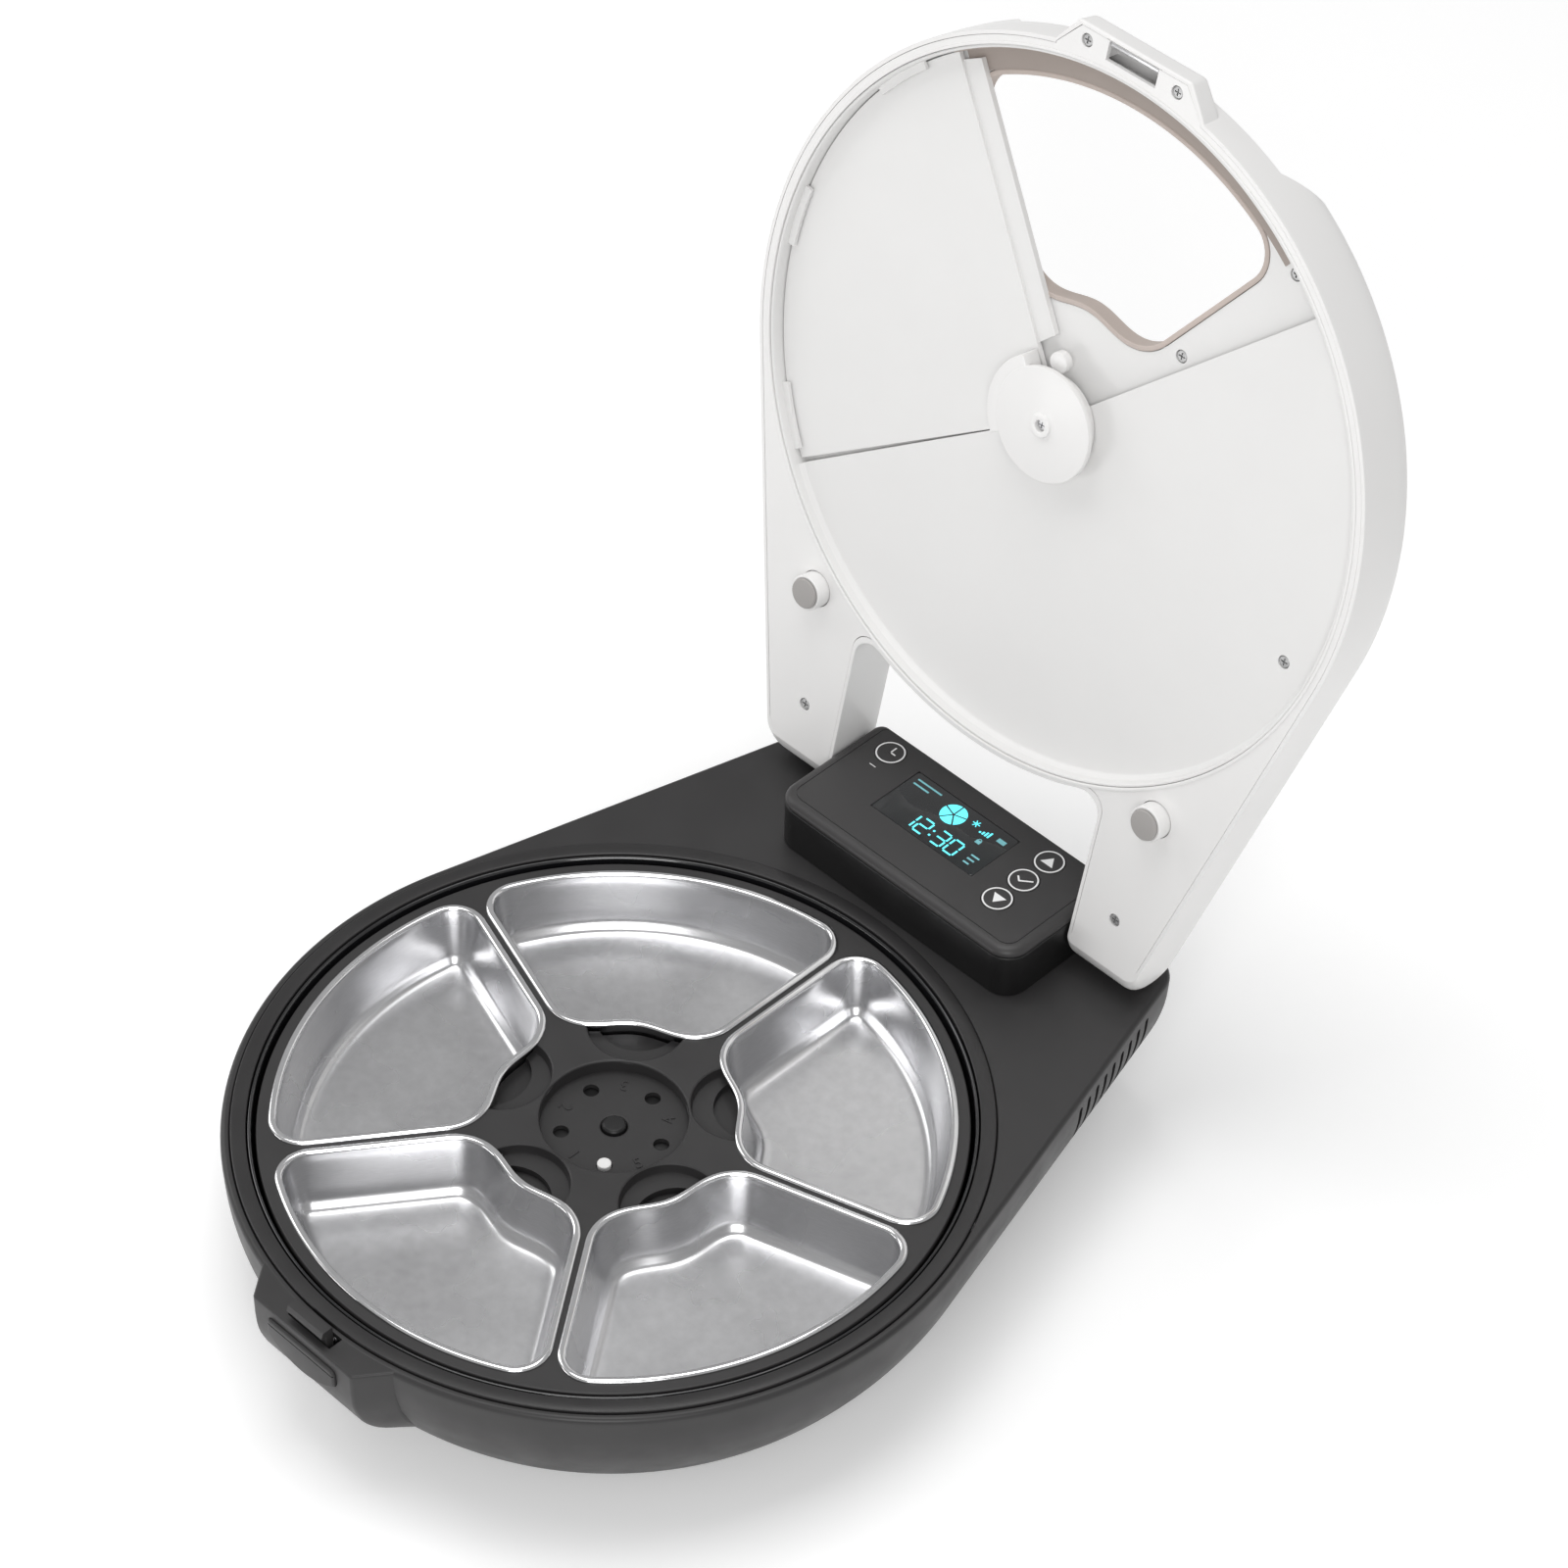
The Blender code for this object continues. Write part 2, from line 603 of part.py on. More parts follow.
def make_control_box(box_finish, panel_finish, glass, metal):
    outline = rounded_box(BOX_HALF, BOX_FRONT, BOX_REAR, 11.0, 4.0)
    box = prism("control_box", outline, DECK + GAP, BOX_TOP, finish=box_finish)
    hollow = rounded_box(BOX_HALF - WALL, BOX_FRONT + WALL, BOX_REAR - WALL, 9.0, 2.0)
    cut(box, prism("cut_box_hollow", hollow, DECK + GAP + WALL, BOX_TOP + 5.0),
        block("cut_box_cable", (-12.0, 175.0, 65.0), (12.0, 185.0, 80.0)))
    for side in (-1.0, 1.0):
        hole = cylinder(f"cut_pin_{side:+.0f}", PIN_RADIUS + GAP, 60.0, 80.0, 20,
                        place=(0.0, HINGE_Y, HINGE_Z))
        hole.rotation_euler = (0.0, math.radians(90.0 * side), 0.0)
        cut(box, hole)
    rings = []
    for height, inset in ((PANEL_BOTTOM, 0.3), (96.4, -0.3), (97.0, 0.2), (PANEL_TOP, 3.6)):
        plan = rounded_box(BOX_HALF - inset, BOX_FRONT + inset, BOX_REAR - inset, 11.0, 4.0)
        rings.append([(x, y, height) for x, y in plan])
    panel = loft("control_panel", rings, finish=panel_finish)
    x, y = DISPLAY_CENTRE
    wide, deep = DISPLAY_SIZE[0] / 2, DISPLAY_SIZE[1] / 2
    cut(panel, block("cut_display", (x - wide - GAP, y - deep - GAP, 96.6),
                     (x + wide + GAP, y + deep + GAP, 99.0)))
    block("display_window", (x - wide, y - deep, 96.9), (x + wide, y + deep, PANEL_TOP), finish=glass)
    for name, (x, y) in BUTTON_PLACES.items():
        cut(panel, cylinder(f"cut_button_{name}", BUTTON_RADIUS + GAP, 90.0, 100.0, 20, place=(x, y, 0.0)))
    for side, label in ((-1.0, "left"), (1.0, "right")):
        profile = [(0.0, 62.0), (5.5, 62.0), (5.5, 65.0), (PIN_RADIUS, 65.0), (PIN_RADIUS, 92.0), (0.0, 92.0)]
        pin = turned(f"hinge_pin_{label}", profile, 20, place=(0.0, HINGE_Y, HINGE_Z), finish=metal)
        pin.rotation_euler = (0.0, math.radians(90.0 * side), 0.0)


def make_buttons(finish):
    for name, (x, y) in BUTTON_PLACES.items():
        parent = group(f"axis_button_{name}", (x, y, PANEL_TOP))
        profile = [(0.0, -3.6), (BUTTON_RADIUS, -3.6), (BUTTON_RADIUS, -0.2), (6.5, 0.3), (0.0, 0.3)]
        turned(f"button_{name}", profile, 20, parent=parent, finish=finish)


# ---------------------------------------------------------------- tray and bowls

def bowl_rings(profile, angle):
    """Rings of a bowl-shaped skin, from (inset, height) pairs, turned to the bowl's own place."""
    return [[(x, y, z) for x, y in turned_outline(bowl_outline(inset), angle)] for inset, z in profile]


def make_tray(finish, peg_finish, parent):
    """The carousel plate: a skirted disc with a pocket for each bowl, finger recesses and a central dish."""
    profile = [(5.5, 61.5), (RECESS_RADIUS + 2.0, 61.5), (RECESS_RADIUS + 2.0, TRAY_TOP - TRAY_PLATE),
               (145.3, TRAY_TOP - TRAY_PLATE), (143.3, TRAY_SKIRT), (145.6, TRAY_SKIRT), (TRAY_RADIUS, 68.8),
               (TRAY_RADIUS - 0.8, TRAY_TOP), (RECESS_RADIUS, TRAY_TOP), (RECESS_RADIUS, RECESS_FLOOR),
               (5.5, RECESS_FLOOR)]
    tray = turned("tray", profile, 48, parent=parent, finish=finish)
    outer = [(12.5, 40.6), (4.2, 46.4), (0.6, 64.0), (0.0, 68.6)]
    inner = [(12.5, 42.2), (5.6, 48.0), (1.6, 67.0), (1.6, 73.0)]
    cuts = []
    for index in range(BOWL_COUNT):
        angle = index * BOWL_ANGLE
        x, y = polar(FINGER_CENTRE, angle - 90.0)
        join(tray, loft(f"guide_pocket_{index}", bowl_rings(outer, angle), parent=parent),
             cylinder(f"guide_finger_{index}", FINGER_RADIUS + 1.6, FINGER_FLOOR - 1.6, 69.0, 24,
                      place=(x, y, 0.0), parent=parent))
        cuts.append(loft(f"cut_pocket_{index}", bowl_rings(inner, angle), parent=parent))
        cuts.append(cylinder(f"cut_finger_{index}", FINGER_RADIUS, FINGER_FLOOR, 75.0, 24,
                             place=(x, y, 0.0), parent=parent))
        x, y = polar(PEG_CIRCLE, angle - 54.0)
        cuts.append(cylinder(f"cut_peg_{index}", PEG_HOLE, 58.0, 68.0, 12, place=(x, y, 0.0), parent=parent))
    cuts.append(cylinder("cut_recess", RECESS_RADIUS, RECESS_FLOOR, 75.0, 40, parent=parent))
    cut(tray, *cuts)
    x, y = polar(PEG_CIRCLE, -54.0)
    peg = [(0.0, 61.6), (PEG_HOLE - 0.4, 61.6), (PEG_HOLE - 0.4, 64.8), (PEG_HOLE - 0.9, 65.4), (0.0, 65.4)]
    turned("tray_peg", peg, 16, place=(x, y, 0.0), parent=parent, finish=peg_finish)


def make_bowls(finish, tray_group):
    """Five equal steel bowls with a rolled rim, each free to lift out."""
    profile = [(13.5, 42.7), (7.0, 48.6), (2.9, 67.0), (2.5, 70.3), (0.0, 70.3), (0.0, 71.0),
               (0.6, 71.4), (2.4, 71.4), (3.2, 70.3), (3.6, 67.0), (7.7, 48.9), (13.9, 43.4)]
    for index in range(BOWL_COUNT):
        parent = group(f"axis_bowl_{index + 1}", (0.0, 0.0, 0.0))
        parent.parent = tray_group
        loft(f"bowl_{index + 1}", bowl_rings(profile, -index * BOWL_ANGLE), parent=parent, finish=finish)


# ---------------------------------------------------------------- lid

def ear_end(height, radius):
    """How far back the ears reach at a height above the rim plane, round about the hinge axis."""
    above = height - (HINGE_Z - LID_PLANE)
    return HINGE_Y + math.sqrt(max(radius ** 2 - above ** 2, 1.0))


def lid_place(height=0.0):
    """The lid's pieces are drawn in the closed place and carried by the empty on the hinge axis."""
    return (0.0, -HINGE_Y, LID_PLANE - HINGE_Z + height)


def lid_ring(height, inset, radius):
    return [(x, y, height) for x, y in lid_outline(inset, ear_end(height, radius))]


def scoop_outline(grow):
    """The hollow in the lid's top, which is wider than the window and runs out at the front edge."""
    half = [(0.0, -220.0), (69.0 + grow, -220.0), (69.0 + grow, -146.0), (77.0 + grow, -118.0),
            (77.0 + grow, -105.0)]
    half += fillet((77.0 + grow, -105.0), (42.0 + 0.8 * grow, -46.0 + grow), (0.0, -46.0 + grow), 16.0)
    half.append((0.0, -46.0 + grow))
    return mirrored(half)


def scoop_tool(name, grow, floor, **here):
    """A cutter with the scoop's shape, whose sides lean outwards as they rise."""
    rings = [[(x, y, floor) for x, y in scoop_outline(grow)],
             [(x, y, floor + 17.0) for x, y in scoop_outline(grow + 14.0)],
             [(x, y, floor + 30.0) for x, y in scoop_outline(grow + 14.0)]]
    return loft(name, rings, **here)


def make_lid_shell(finish, here):
    """The lid's top and sides as one hollow moulding, open below, with a scoop around the window."""
    levels = [(2.5, 0.0), (9.0, 0.0), (16.0, 0.3), (24.0, 1.0), (29.0, 2.0), (31.4, 3.4), (LID_HEIGHT, 6.0)]
    shell = loft("lid_shell", [lid_ring(z, inset, EAR_END_RADIUS) for z, inset in levels], finish=finish,
                 **here)
    boss = loft("guide_lid_boss", [[(x, y, 2.5) for x, y in boss_outline(0.0)],
                                   [(x, y, 10.0) for x, y in boss_outline(0.4)],
                                   [(x, y, 14.0) for x, y in boss_outline(3.4)]], **here)
    inner_levels = [(0.5, WALL), (9.0, WALL), (16.0, WALL + 0.3), (24.0, WALL + 1.0), (29.6, WALL + 3.0)]
    cavity = loft("cut_lid_cavity", [lid_ring(z, inset, EAR_END_RADIUS - WALL) for z, inset in inner_levels],
                  **here)
    cut(cavity, scoop_tool("cut_scoop_skin", WALL, SCOOP_FLOOR - WALL, **here))
    scoop = scoop_tool("cut_scoop", 0.0, SCOOP_FLOOR, **here)
    pocket = block("cut_catch_pocket", (-14.5, -169.8, 0.0), (14.5, -150.0, 9.5), **here)
    window = prism("cut_shell_window", bowl_outline(-1.6), 0.0, 40.0, **here)
    join(shell, boss)
    cut(shell, scoop, cavity, pocket, window)
    for side in (-1.0, 1.0):
        hole = cylinder(f"cut_ear_{side:+.0f}", PIN_RADIUS + GAP, 60.0, 85.0, 20, parent=here["parent"])
        hole.rotation_euler = (0.0, math.radians(90.0 * side), 0.0)
        place = (side * 23.7, here["place"][1] - 164.0, here["place"][2])
        screw = cylinder(f"cut_boss_screw_{side:+.0f}", SCREW_RADIUS + GAP, 0.0, 8.0, 14, place=place,
                         parent=here["parent"])
        cut(shell, hole, screw)


def make_lid_frame(finish, here):
    """The flat underside of the lid: the rim, the ears and the latch boss, with the slot for the hook."""
    frame = prism("lid_frame", lid_outline(0.2, ear_end(0.0, EAR_END_RADIUS)), 0.0, FRAME_TOP, finish=finish,
                  **here)
    join(frame, prism("guide_frame_boss", boss_outline(0.0), 0.0, FRAME_TOP, **here))
    cut(frame, cylinder("cut_frame_dish", DISH_RADIUS, -5.0, 10.0, 48, **here),
        block("cut_frame_slot", (-13.0, -169.8, -5.0), (13.0, -160.6, 10.0), **here))
    origin = here["place"]
    for side in (-1.0, 1.0):
        for x, y, radius in ((92.0, 196.0, SCREW_RADIUS), (23.7, -164.0, SCREW_RADIUS),
                             (*BUMPER_PLACE, BUMPER_RADIUS)):
            place = (side * x, origin[1] + y, origin[2])
            cut(frame, cylinder(f"cut_frame_{x:.0f}_{side:+.0f}", radius + GAP, -5.0, 10.0, 14, place=place,
                                parent=here["parent"]))


def make_inner_panel(finish, here):
    """The dish under the lid: a raised floor, and a lower one where the shutter slides past the window."""
    profile = [(7.4, PLATEAU), (155.0, PLATEAU), (155.0, 0.3), (156.5, 0.3), (156.5, DISH_TOP),
               (7.4, DISH_TOP)]
    panel = turned("lid_inner_panel", profile, 48, finish=finish, **here)
    start, end = SHUTTER_START - 0.8, SHUTTER_END + SHUTTER_TURN + 0.8
    recess = prism("cut_shutter_recess", sector(3.0, 154.8, start, end, 32), 2.0, DISH_FLOOR, **here)
    slot = [(0.0, 0.0), (152.0, 0.0), (152.0, 14.0), (0.0, 14.0)]
    seam = prism("cut_seal_slot", turned_outline(slot, end - 1.0), 7.3, DISH_FLOOR, **here)
    window = prism("cut_panel_window", bowl_outline(-1.6), 0.0, 20.0, **here)
    cut(panel, recess, seam, window)
    for label, (x, y, z) in PANEL_SCREWS.items():
        place = (x, here["place"][1] + y, here["place"][2] + z)
        cut(panel, cylinder(f"cut_panel_screw_{label}", SCREW_RADIUS + GAP, -1.0, 1.7, 14, place=place,
                            parent=here["parent"]))
    for index, angle in enumerate((222.3, 186.8, 152.0)):
        outline = sector(151.4, 155.8, angle - 5.5, angle + 5.5, 4)
        join(panel, prism(f"guide_tab_{index}", outline, 4.2, 5.8, **here))


def make_shutter(finish, metal, lid_group):
    """A quarter-circle shutter that turns about the carousel axis to close the window."""
    parent = group("axis_shutter", (0.0, 0.0, 0.0))
    parent.parent = lid_group
    parent.location = [value * MM for value in lid_place()]
    here = {"parent": parent}
    panel = prism("shutter_panel", sector(8.0, SHUTTER_RADIUS, SHUTTER_START, SHUTTER_END, 20), 6.4, 8.6,
                  finish=finish, **here)
    strip = [(32.0, -3.0), (SHUTTER_RADIUS - 3.6, -3.0), (SHUTTER_RADIUS - 4.6, 10.5), (34.0, 10.5)]
    join(panel, prism("guide_strip", turned_outline(strip, SHUTTER_END), 7.6, 9.6, **here))
    hub = turned("shutter_hub", [(1.8, -4.0), (HUB_RADIUS - 0.6, -4.0), (HUB_RADIUS, -3.4), (HUB_RADIUS, 5.6),
                                 (6.8, 5.6), (6.8, 13.2), (1.8, 13.2)], 28, finish=finish, **here)
    join(hub, prism("guide_lobe", sector(15.0, HUB_LOBE, SHUTTER_START, SHUTTER_END, 12), -4.0, 5.6, **here))
    turned("shutter_screw", [(0.0, -5.2), (1.0, -5.2), (3.4, -4.9), (3.4, -4.3), (1.4, -4.3), (1.4, 8.0),
                             (0.0, 8.0)], 16, finish=metal, **here)


def make_window_seal(finish, here):
    """The soft liner around the window's edge."""
    seal = prism("window_seal", bowl_outline(-1.2), 9.9, 17.2, finish=finish, **here)
    cut(seal, prism("cut_seal", bowl_outline(0.6), 5.0, 25.0, **here))


def make_lid_small_parts(screw, metal, rubber, dark, here):
    """The catch for the hook, the screws, the sprung bumpers and the shutter's motor."""
    block("lid_catch", (-12.6, -169.5, 0.5), (12.6, -167.3, 2.5), finish=metal, **here)
    origin = here["place"]
    head = [(0.0, 0.4), (SCREW_RADIUS, 0.4), (SCREW_RADIUS, 1.8), (1.5, 1.8), (1.5, 7.0), (0.0, 7.0)]
    for side, label in ((-1.0, "left"), (1.0, "right")):
        for kind, x, y in (("ear", 92.0, 196.0), ("latch", 23.7, -164.0)):
            place = (side * x, origin[1] + y, origin[2])
            turned(f"screw_{kind}_{label}", head, 14, place=place, parent=here["parent"], finish=screw)
    cap = [(0.0, -0.2), (2.2, -0.2), (2.6, 0.2), (2.6, 1.2), (0.0, 1.2)]
    for label, (x, y, z) in PANEL_SCREWS.items():
        place = (x, origin[1] + y, origin[2] + z + 0.4)
        turned(f"screw_panel_{label}", cap, 14, place=place, parent=here["parent"], finish=screw)
    turned("shutter_motor", [(0.0, 13.6), (11.0, 13.6), (11.0, 27.0), (0.0, 27.0)], 24, finish=dark, **here)
    stem = [(0.0, -BUMPER_STAND), (BUMPER_RADIUS - 0.6, -BUMPER_STAND), (BUMPER_RADIUS, -BUMPER_STAND + 0.6),
            (BUMPER_RADIUS, 2.6), (BUMPER_RADIUS + 1.5, 2.6), (BUMPER_RADIUS + 1.5, 4.0), (0.0, 4.0)]
    for side, label in ((-1.0, "left"), (1.0, "right")):
        place = (side * BUMPER_PLACE[0], origin[1] + BUMPER_PLACE[1], origin[2])
        turned(f"bumper_{label}", stem, 20, place=place, parent=here["parent"], finish=rubber)


# ---------------------------------------------------------------- assembly

def main():
    clear_scene()
    charcoal = material("charcoal plastic", (0.085, 0.082, 0.083), 0.42)
    deck_black = material("black satin plastic", (0.02, 0.02, 0.021), 0.3)
    gloss_black = material("gloss black plastic", (0.006, 0.006, 0.007), 0.12)
    white = material("warm white plastic", (0.82, 0.81, 0.80), 0.38)
    grey = material("grey plastic", (0.42, 0.41, 0.4), 0.5)
    beige = material("beige silicone", (0.56, 0.5, 0.46), 0.6)
    steel = material("satin steel", (0.66, 0.66, 0.67), 0.28, 1.0)
    frost = material("frosted cold plate", (0.62, 0.74, 0.82), 0.45, 0.3)
    amber = material("amber heater", (0.95, 0.3, 0.03), 0.4)
    alloy = material("aluminium", (0.7, 0.7, 0.72), 0.35, 1.0)
    ceramic = material("white ceramic", (0.8, 0.8, 0.78), 0.6)
    board = material("green circuit board", (0.03, 0.18, 0.07), 0.5)
    glass = material("black display glass", (0.01, 0.01, 0.012), 0.05)
    brass = material("brass", (0.7, 0.52, 0.22), 0.3, 1.0)
    rubber = material("black rubber", (0.03, 0.03, 0.03), 0.8)

    make_housing(charcoal)
    make_bottom_cover(charcoal)
    make_feet(rubber)
    make_well(gloss_black)
    make_cooling_plate(frost)
    make_heating_pad(amber)
    make_cooler(alloy, ceramic, deck_black)
    make_fan_rotor(deck_black)
    make_drive(alloy, deck_black, grey, brass)
    make_electronics(board, deck_black)
    make_latch(charcoal, steel)
    make_control_box(deck_black, charcoal, glass, steel)
    make_buttons(charcoal)

    tray_group = group("axis_tray", (0.0, 0.0, 0.0))
    make_tray(charcoal, white, tray_group)
    make_bowls(steel, tray_group)

    hinge = group("axis_lid", (0.0, HINGE_Y, HINGE_Z), (-LID_OPEN, 0.0, 0.0))
    here = {"parent": hinge, "place": lid_place()}
    make_lid_shell(white, here)
    make_lid_frame(white, here)
    make_inner_panel(white, here)
    make_window_seal(beige, here)
    make_shutter(white, steel, hinge)
    make_lid_small_parts(grey, steel, grey, deck_black, here)


main()
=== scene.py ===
"""Automatic pet feeder: the finished look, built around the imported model.

Lengths in the shape code are millimetres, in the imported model's frame. The lid is drawn closed, with heights
above its rim plane, and is then swung open about its hinge. Colours are linear.
"""

import json
import math

import bmesh
import bpy
from mathutils import Matrix, Vector

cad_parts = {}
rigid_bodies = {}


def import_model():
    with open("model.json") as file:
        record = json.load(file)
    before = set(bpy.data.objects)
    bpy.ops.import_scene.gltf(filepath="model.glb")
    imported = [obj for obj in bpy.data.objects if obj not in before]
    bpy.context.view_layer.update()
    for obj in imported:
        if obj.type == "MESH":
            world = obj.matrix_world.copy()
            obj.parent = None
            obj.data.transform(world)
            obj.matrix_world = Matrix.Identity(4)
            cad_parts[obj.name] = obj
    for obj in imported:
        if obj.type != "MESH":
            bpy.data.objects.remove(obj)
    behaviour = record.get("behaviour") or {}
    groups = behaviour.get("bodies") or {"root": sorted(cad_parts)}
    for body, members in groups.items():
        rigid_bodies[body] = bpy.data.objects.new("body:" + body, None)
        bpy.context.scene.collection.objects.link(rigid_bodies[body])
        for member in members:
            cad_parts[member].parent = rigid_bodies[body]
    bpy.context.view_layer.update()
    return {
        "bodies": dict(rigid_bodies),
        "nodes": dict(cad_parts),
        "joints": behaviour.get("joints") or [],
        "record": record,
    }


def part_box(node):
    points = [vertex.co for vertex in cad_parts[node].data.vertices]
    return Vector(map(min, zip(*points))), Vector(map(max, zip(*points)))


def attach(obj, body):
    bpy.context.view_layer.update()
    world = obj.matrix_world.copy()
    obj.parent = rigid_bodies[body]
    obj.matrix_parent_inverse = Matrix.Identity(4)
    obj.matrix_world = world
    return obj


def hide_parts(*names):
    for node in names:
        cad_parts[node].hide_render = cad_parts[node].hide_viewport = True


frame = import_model()
MM = 0.001
SMOOTH_ANGLE = 32.0
JOINTS = {joint["name"]: joint for joint in frame["joints"]}


def node_box(name):
    """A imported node's lowest and highest corners, in millimetres."""
    low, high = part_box(name)
    return low / MM, high / MM


def node_centre(name):
    low, high = node_box(name)
    return (low + high) / 2


# Camera
CAMERA_PLACE = (1059.2, -986.2, 1662.0)
CAMERA_YAW = 44.367
CAMERA_PITCH = 44.059
CAMERA_ROLL = 1.1685
CAMERA_LENS = 119.0

# Studio: each light's place, target, size and watts
FLOOR_HALF = 6000.0
WORLD_STRENGTH = 0.42
LIGHTS = {"key": ((1.4, -1.5, 1.7), (0.0, 0.1, 0.15), (1.2, 1.0), 23.0),
          "top": ((-0.3, 0.2, 2.4), (0.0, 0.1, 0.1), (1.6, 1.2), 22.0),
          "side": ((-1.7, -0.3, 1.2), (0.0, 0.1, 0.2), (0.8, 1.2), 7.0),
          "low": ((-0.45, -0.8, 0.14), (0.0, -0.17, 0.03), (0.4, 0.15), 0.9)}

# Base
BASE_RADIUS = 162.5
BASE_REAR = node_box("base_housing")[1].y
BASE_ROUND = 15.0
TAIL_ANGLE = 15.0
WALL = 2.5
HOUSING_BOTTOM = node_box("base_housing")[0].z
DECK = node_box("base_housing")[1].z
SIDE_PROFILE = [(3.0, 28.5), (12.0, 21.0), (21.0, 15.0), (32.0, 8.8), (44.0, 3.6), (56.0, 0.8), (68.6, 0.0)]
EDGE_ROUND = 2.4
VENT_FRONT = 146.0
VENT_PITCH = 7.2
VENT_COUNT = 9
VENT_RADIUS = 1.35
VENT_TOP = 63.6
VENT_BOTTOM = 38.4
RING_RADIUS = 158.4
RING_TOP = node_box("well_liner")[1].z
WELL_RADIUS = 149.7
WELL_FLOOR = 38.0

# Latch boss
BOSS_FRONT = -171.0
BOSS_HALF_FRONT = 29.5
BOSS_HALF_BACK = 40.0
BOSS_BACK = -157.0
BOSS_PROFILE = [(36.0, 11.0), (24.0, 16.0), (14.5, 24.0), (7.0, 34.0), (2.6, 44.0), (0.5, 54.0), (0.0, 70.8)]
BUTTON_HALF = 20.0
BUTTON_TOP = 8.0

# Tray and bowls
TRAY_RADIUS = 148.0
TRAY_TOP = node_box("tray")[1].z
RECESS_RADIUS = 31.0
RECESS_FLOOR = 63.7
PEG_CIRCLE = 22.2
BOWL_COUNT = 5
BOWL_ANGLE = 360.0 / BOWL_COUNT
BOWL_OUTER = 143.0
BOWL_INNER = 47.5
BOWL_WAVE = 3.8
BOWL_ROUND = 15.0
BOWL_GAP = 2.0
BOWL_RIM = 69.9
FINGER_CENTRE = 53.4
FINGER_RADIUS = 21.2

# Control box
BOX_HALF = 70.0
BOX_FRONT = 162.5
BOX_REAR = 228.0
PANEL_TOP = node_box("control_panel")[1].z
KEY_RADIUS = 7.0
KEYS = ("clock", "up", "ok", "down")

# Lid, in its closed place, with heights above its rim plane
LID_PLANE = 72.5
LID_RADIUS = 162.5
LID_HEIGHT = 32.3
LID_REAR_RADIUS = 159.5
LID_OPEN = -JOINTS["lid_hinge"]["range_deg"][0]
HINGE = Vector(JOINTS["lid_hinge"]["pos_m"]) / MM
EAR_INNER = 71.0
EAR_END_RADIUS = 17.0
DISH_RADIUS = 157.0
PLATEAU = 6.0
DISH_FLOOR = 10.0
DISH_TOP = 12.0
SCOOP_FLOOR = 16.2
BUMPER_RADIUS = 8.0
BUMPER_STAND = 8.0
SHUTTER_START = 144.8
SHUTTER_END = 234.8
SHUTTER_TURN = JOINTS["shutter_turn"]["range_deg"][1]
SHUTTER_RADIUS = 154.2
HUB_RADIUS = 25.0
HUB_LOBE = 30.0
# Where the taupe lining ends, in degrees; its colour is beige liner darkened with painted shade.
LINING_AND_SHADE_END = 306.6
LID_WALL = 1.75
WINDOW_INSET = -1.6
FACE_INSET = 1.95
FACE_BOTTOM = 0.12
FACE_TOP = 2.4
SCREW_HEAD = 2.6
SCREW_HOLE = 2.9
EAR_SCREW = (92.0, 196.0)
LATCH_SCREW = (23.7, -164.0)
BUMPER = (99.0, 139.0)
PANEL_SCREWS = {"screw_panel_inner": (49.0, -55.0, DISH_FLOOR),
                "screw_panel_outer": (91.5, -115.0, DISH_FLOOR),
                "screw_panel_side": (135.0, 40.5, PLATEAU)}


# ---------------------------------------------------------------- outlines

def polar(radius, angle):
    turn = math.radians(angle)
    return (radius * math.cos(turn), radius * math.sin(turn))


def arc(radius, start, end, steps, centre=(0.0, 0.0)):
    """Points along an arc, both ends included, with angles in degrees."""
    points = []
    for step in range(steps + 1):
        x, y = polar(radius, start + (end - start) * step / steps)
        points.append((centre[0] + x, centre[1] + y))
    return points


def fillet(before, corner, after, radius, steps=8):
    """The round that replaces the corner between two straight edges."""
    tip = Vector(corner)
    back = (Vector(before) - tip).normalized()
    ahead = (Vector(after) - tip).normalized()
    half = back.angle(ahead) / 2
    centre = tip + (back + ahead).normalized() * (radius / math.sin(half))
    start = tip + back * (radius / math.tan(half)) - centre
    sweep = math.pi - 2 * half
    if back.x * ahead.y - back.y * ahead.x > 0:
        sweep = -sweep
    points = []
    for step in range(steps + 1):
        turn = sweep * step / steps
        x = start.x * math.cos(turn) - start.y * math.sin(turn)
        y = start.x * math.sin(turn) + start.y * math.cos(turn)
        points.append((centre.x + x, centre.y + y))
    return points


def soften(outline, radius, steps=3):
    """A closed outline with every real corner rounded, by less where its edges are short."""
    softened = []
    count = len(outline)
    for index, corner in enumerate(outline):
        before = Vector(outline[index - 1])
        after = Vector(outline[(index + 1) % count])
        tip = Vector(corner)
        back, ahead = before - tip, after - tip
        if min(back.length, ahead.length) < 1e-6:
            continue
        bend = math.pi - back.angle(ahead)
        if bend < math.radians(12.0) or abs(corner[0]) < 1e-6:
            softened.append(corner)
            continue
        room = 0.42 * min(back.length, ahead.length)
        size = min(radius, room / math.tan(bend / 2))
        softened += fillet(before, corner, after, size, steps)
    return softened


def mirrored(half):
    """Closes a right-hand half outline, which runs from the front to the rear, with its mirror image."""
    return half + [(-x, y) for x, y in reversed(half) if abs(x) > 1e-6]


def turned_outline(outline, angle):
    """An outline turned about the vertical axis, in degrees."""
    turn = math.radians(angle)
    return [(x * math.cos(turn) - y * math.sin(turn), x * math.sin(turn) + y * math.cos(turn))
            for x, y in outline]


def rounded_box(half_width, front, rear, front_round, rear_round):
    half = [(0.0, front)]
    half += fillet((0.0, front), (half_width, front), (half_width, rear), front_round)
    half += fillet((half_width, front), (half_width, rear), (0.0, rear), rear_round)
    half.append((0.0, rear))
    return mirrored(half)


def tangent_corner(radius, end):
    """Where the straight side that leaves a circle at the tail angle reaches a given depth."""
    turn = math.radians(TAIL_ANGLE)
    return ((radius - end * math.sin(turn)) / math.cos(turn), end)


